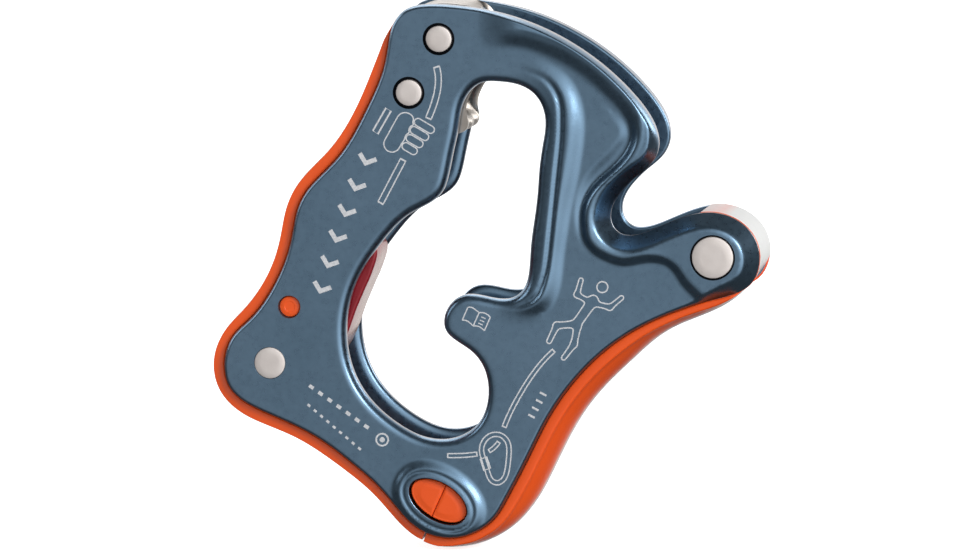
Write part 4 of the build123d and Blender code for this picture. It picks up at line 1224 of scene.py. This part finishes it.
def half_outline(inset, left):
    """Half of the oval button, set in all round: its arc, then the side at the split."""
    loop = oval_loop(-0.24 - inset, 1440)
    sign = -1 if left else 1
    limit = 0.05 + inset
    keep = sign * split_side(loop) > limit
    first = int(np.where(keep & ~np.roll(keep, 1))[0][0])
    loop, keep = np.roll(loop, -first, 0), np.roll(keep, -first)
    m = int(np.where(~keep)[0][0])

    def cut(inner, outer):
        a, b = sign * split_side(inner), sign * split_side(outer)
        return inner + (outer - inner) * ((a - limit) / (a - b))
    arc = np.vstack([cut(loop[0], loop[-1]), loop[:m], cut(loop[m - 1], loop[m])])
    s = arc_length(arc)
    arc = at_lengths(arc, s, np.linspace(0, s[-1], 120))
    t = np.linspace(0, 1, 42)[1:-1, None]
    return np.vstack([arc, arc[-1] * (1 - t) + arc[0] * t])


# rounded edge of the button: (inset, distance below its face)
BUTTON_EDGE = [(0.0, 0.30), (0.03, 0.18), (0.09, 0.08), (0.18, 0.02), (0.28, 0.0)]


def half_button(name, left, sign):
    """Half of the oval button, on the side of y given by sign."""
    build = Build()
    outline = half_outline(0.0, left)
    previous = build.add(lift(outline, sign * 4.0))
    build.faces.append(tuple(previous))
    for inset, drop in BUTTON_EDGE:
        outline = half_outline(inset, left)
        ids = build.add(lift(outline, sign * (BUTTON_FACE - drop)))
        build.bridge(previous, ids)
        previous = ids
    grid = clear_of(hex_grid(outline.min(0), outline.max(0), 0.22), [outline], 0.10)
    tri, coords = fill(outline, [], grid)
    rest = coords[len(outline):]
    # raised oval in the middle with a shallow groove round it
    u, v = window_axes(rest)
    ratio = np.hypot(u / (WINDOW_LONG - 1.9), v / (WINDOW_SHORT - 1.5))
    y = BUTTON_FACE + 0.10 * (1 - smooth((ratio - 0.86) / 0.28))
    y = y - 0.07 * np.exp(-((ratio - 1.32) / 0.10) ** 2)
    ids = np.concatenate([previous, build.add(lift(rest, sign * y))])
    build.faces += [tuple(t) for t in ids[tri]]
    ob = build.finish(name, ORANGE)
    ob.data.set_sharp_from_angle(angle=math.radians(50))
    return ob


def join(target, others):
    bpy.ops.object.select_all(action="DESELECT")
    for ob in others + [target]:
        ob.select_set(True)
    bpy.context.view_layer.objects.active = target
    bpy.ops.object.join()


# (radius, distance from the middle plane)
PEG_PROFILE = [(0, 2.0), (2.1, 2.0), (2.1, 9.55), (2.02, 9.72), (1.8, 9.82), (1.1, 9.84),
               (1.0, 9.76), (0, 9.76)]

shell_right, shell_left = make_shells()
pegs = [lathe("peg%d" % (sign + 1), PEG_AXIS, [(r, sign * y) for r, y in PEG_PROFILE], ORANGE,
              count=64, sharp_angle=30) for sign in (-1, 1)]
join(shell_left, pegs + [half_button("bl%d" % (sign + 1), True, sign) for sign in (-1, 1)])
join(shell_right, [half_button("br%d" % (sign + 1), False, sign) for sign in (-1, 1)])
register(shell_left, "left_shell")
register(shell_right, "right_shell")


# ------------------------------------------------------------------ steel insert
def make_insert():
    line = even(INSERT_OUTLINE, 300)
    inward = inward_normals(line)
    x, z = line[:, 0], line[:, 1]
    # a saddle is hollowed along the side that faces the slot, and faintly at the top
    facing = np.clip(-inward[:, 0], 0, 1)
    zone = smooth((z - 48.6) / 3.4) * smooth((x - 7.0) / 3.0)
    top = smooth((x - 11.0) / 3.0) * smooth((z - 66.0) / 3.0)
    hollow = np.maximum(facing * zone, top * 0.12)
    hollow = np.concatenate([hollow[-8:], hollow, hollow[:8]])
    hollow = np.convolve(hollow, np.ones(9) / 9, "same")[8:-8]
    # it flares out again at its lower end
    flare = np.exp(-((z - 48.6) / 1.5) ** 2) * smooth((x - 7.5) / 1.5)
    rings = []
    for y in np.linspace(-INNER_FACE, INNER_FACE, 41):
        t = abs(y) / INNER_FACE
        depth = 2.7 * np.sqrt(np.clip(1 - t ** 2, 0, 1)) * hollow
        bulge = 0.55 * flare * np.cos(y * 0.55) ** 2
        rings.append(lift(line + inward * (depth - bulge)[:, None], y))
    return loft("steel_insert", rings, INSERT_STEEL, sharp_angle=45)


register(make_insert(), "friction_insert")

# ------------------------------------------------------------------ rivets
RIVET_SEAT = 8.3        # underside of the heads, from the middle plane
# name, centre, shank radius, head radius, face distance from the middle plane, roughness, node
RIVETS = [
    ("insert_rivet_1", INSERT_RIVETS[0], 2.1, 2.6, 10.55, 0.42, "insert_rivets"),
    ("insert_rivet_2", INSERT_RIVETS[1], 2.1, 2.6, 10.55, 0.42, "insert_rivets"),
    ("pivot_rivet", LEVER_PIVOT, 2.24, 3.14, 10.5, 0.44, "lever_rivet"),
    ("nose_boss_rivet", NOSE_AXIS, 2.99, 4.14, 11.62, 0.42, "nose_rivet"),
]


def rivet_profile(shank, head, face):
    front = [(0.0, -face), (head * 0.55, -face), (head - 0.22, -face + 0.015),
             (head - 0.08, -face + 0.06), (head - 0.01, -face + 0.16), (head, -face + 0.32),
             (head, -RIVET_SEAT), (shank, -RIVET_SEAT), (shank, -0.2)]
    return front + [(r, -y) for r, y in front[::-1]]


for number, (name, centre, shank, head, face, rough, node) in enumerate(RIVETS, 1):
    steel = turned("rivet_steel_%d" % number, centre, low=(0.78, 0.715, 0.68),
                   high=(0.88, 0.815, 0.78), rough=rough)
    rivet = lathe(name, centre, rivet_profile(shank, head, face), steel, count=96, sharp_angle=25)
    register(rivet, node)

# ------------------------------------------------------------------ finishes of the CAD pieces
SLEEVE = {"low": (0.42, 0.42, 0.43), "high": (0.55, 0.55, 0.56), "rough": 0.3}
for node, material in (("cam_lever", LEVER_RED), ("lever_spring", WIRE),
                       ("lever_bush", turned("sleeve_steel_1", LEVER_PIVOT, **SLEEVE)),
                       ("nose_spacer", turned("sleeve_steel_2", NOSE_AXIS, **SLEEVE))):
    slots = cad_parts[node].data.materials
    slots.clear()
    slots.append(material)


# ------------------------------------------------------------------ floor
def make_floor():
    z = CAD_BOX[0][2] * 1000 - 0.2
    side = 41
    places = np.linspace(-2600, 2600, side)
    verts = [(x, y, z) for y in places for x in places]
    corners = [j * side + i for j in range(side - 1) for i in range(side - 1)]
    faces = [(a, a + 1, a + side + 1, a + side) for a in corners]
    ob = make("floor_sheet", verts, faces, [paper()])
    # the sheet stays out of the reflections and bounced light
    ob.visible_glossy = False
    ob.visible_diffuse = False


make_floor()

# ------------------------------------------------------------------ world
WORLD_BASE = 0.09
# direction, range of its dot product, light at the two ends of the range
WORLD_KEY = ((0.66, -0.70, 0.27), (0.48, 1.0), (0.0, 1.60))
WORLD_KEY_MASK = ((0.0, -1.0, 0.0), (0.12, 0.62), (0.0, 1.0))      # keeps the key to the front
WORLD_LOBES = [
    ((-0.17, -0.98, -0.12), (0.76, 0.98), (0.0, 0.31)),
    ((0.05, 1.0, 0.1), (0.62, 0.93), (0.0, 1.00)),
]


def make_world():
    """Studio light by direction; the camera itself sees plain white."""
    world = bpy.data.worlds.new("studio")
    bpy.context.scene.world = world
    world.use_nodes = True
    w = Nodes(world.node_tree)
    direction = w.add("TexCoord").outputs["Generated"]

    def lobe(towards, span, to):
        dot = w.dot(direction, Vector(towards).normalized())
        return w.remap(dot, to=to, span=span, kind="SMOOTHSTEP")

    total = w.math("MULTIPLY", lobe(*WORLD_KEY), lobe(*WORLD_KEY_MASK))
    total = w.math("ADD", total, WORLD_BASE)
    for settings in WORLD_LOBES:
        total = w.math("ADD", total, lobe(*settings))
    seen = w.add("LightPath").outputs["Is Camera Ray"]
    strength = w.add("Mix", {0: seen, 2: total, 3: 1.0}, data_type="FLOAT").outputs[0]
    background = w.add("Background", {"Strength": strength, "Color": (1, 1, 1, 1)})
    w.add("OutputWorld", {0: background.outputs[0]})


make_world()
bpy.context.scene.view_settings.view_transform = "Standard"
bpy.context.scene.view_settings.look = "None"

# ------------------------------------------------------------------ lights, metres and watts
LIGHT_AIM = Vector((0.012, 0, 0.018))
# name, place, size, power
LIGHTS = [
    ("key_right", (0.95, -0.85, 0.55), (0.5, 0.5), 8.5),
    ("left_fill", (-1.1, -0.12, 0.50), (0.6, 0.6), 3.0),
    ("rear_left", (-0.9, 0.7, 0.40), (0.6, 0.6), 2.0),
    ("rear_top", (-0.3, 0.9, 0.8), (0.8, 0.6), 3.0),
    ("rear_right", (0.8, 0.75, 0.35), (0.5, 0.5), 4.0),
]
for name, place, size, power in LIGHTS:
    light = bpy.data.lights.new(name, "AREA")
    light.shape = "RECTANGLE"
    light.size, light.size_y = size
    light.energy = power
    lamp = bpy.data.objects.new(name, light)
    bpy.context.scene.collection.objects.link(lamp)
    lamp.location = place
    lamp.rotation_mode = "QUATERNION"
    lamp.rotation_quaternion = (Vector(place) - LIGHT_AIM).to_track_quat("Z", "Y")

# ------------------------------------------------------------------ camera, metres
CAMERA_AZIMUTH, CAMERA_ELEVATION = math.radians(10.0), math.radians(6.9)
CAMERA_DISTANCE = 1.6
VIEW_WIDTH = 0.1956                         # width seen at that distance
AIM_RIGHT, AIM_UP = 0.012754, 0.017684      # aim point from the origin, across the view


def make_camera():
    data = bpy.data.cameras.new("camera")
    camera = bpy.data.objects.new("camera", data)
    bpy.context.scene.collection.objects.link(camera)
    bpy.context.scene.camera = camera
    sin_a, cos_a = math.sin(CAMERA_AZIMUTH), math.cos(CAMERA_AZIMUTH)
    sin_e, cos_e = math.sin(CAMERA_ELEVATION), math.cos(CAMERA_ELEVATION)
    back = Vector((sin_a * cos_e, -cos_a * cos_e, sin_e))
    right = Vector((cos_a, sin_a, 0))
    up = Vector((-sin_e * sin_a, sin_e * cos_a, cos_e))
    camera.location = right * AIM_RIGHT + up * AIM_UP + back * CAMERA_DISTANCE
    camera.rotation_mode = "QUATERNION"
    camera.rotation_quaternion = Matrix((right, up, back)).transposed().to_quaternion()
    data.sensor_width = 36.0
    data.lens = data.sensor_width * CAMERA_DISTANCE / VIEW_WIDTH
    data.clip_start, data.clip_end = 0.05, 20.0


make_camera()

bpy.context.view_layer.update()
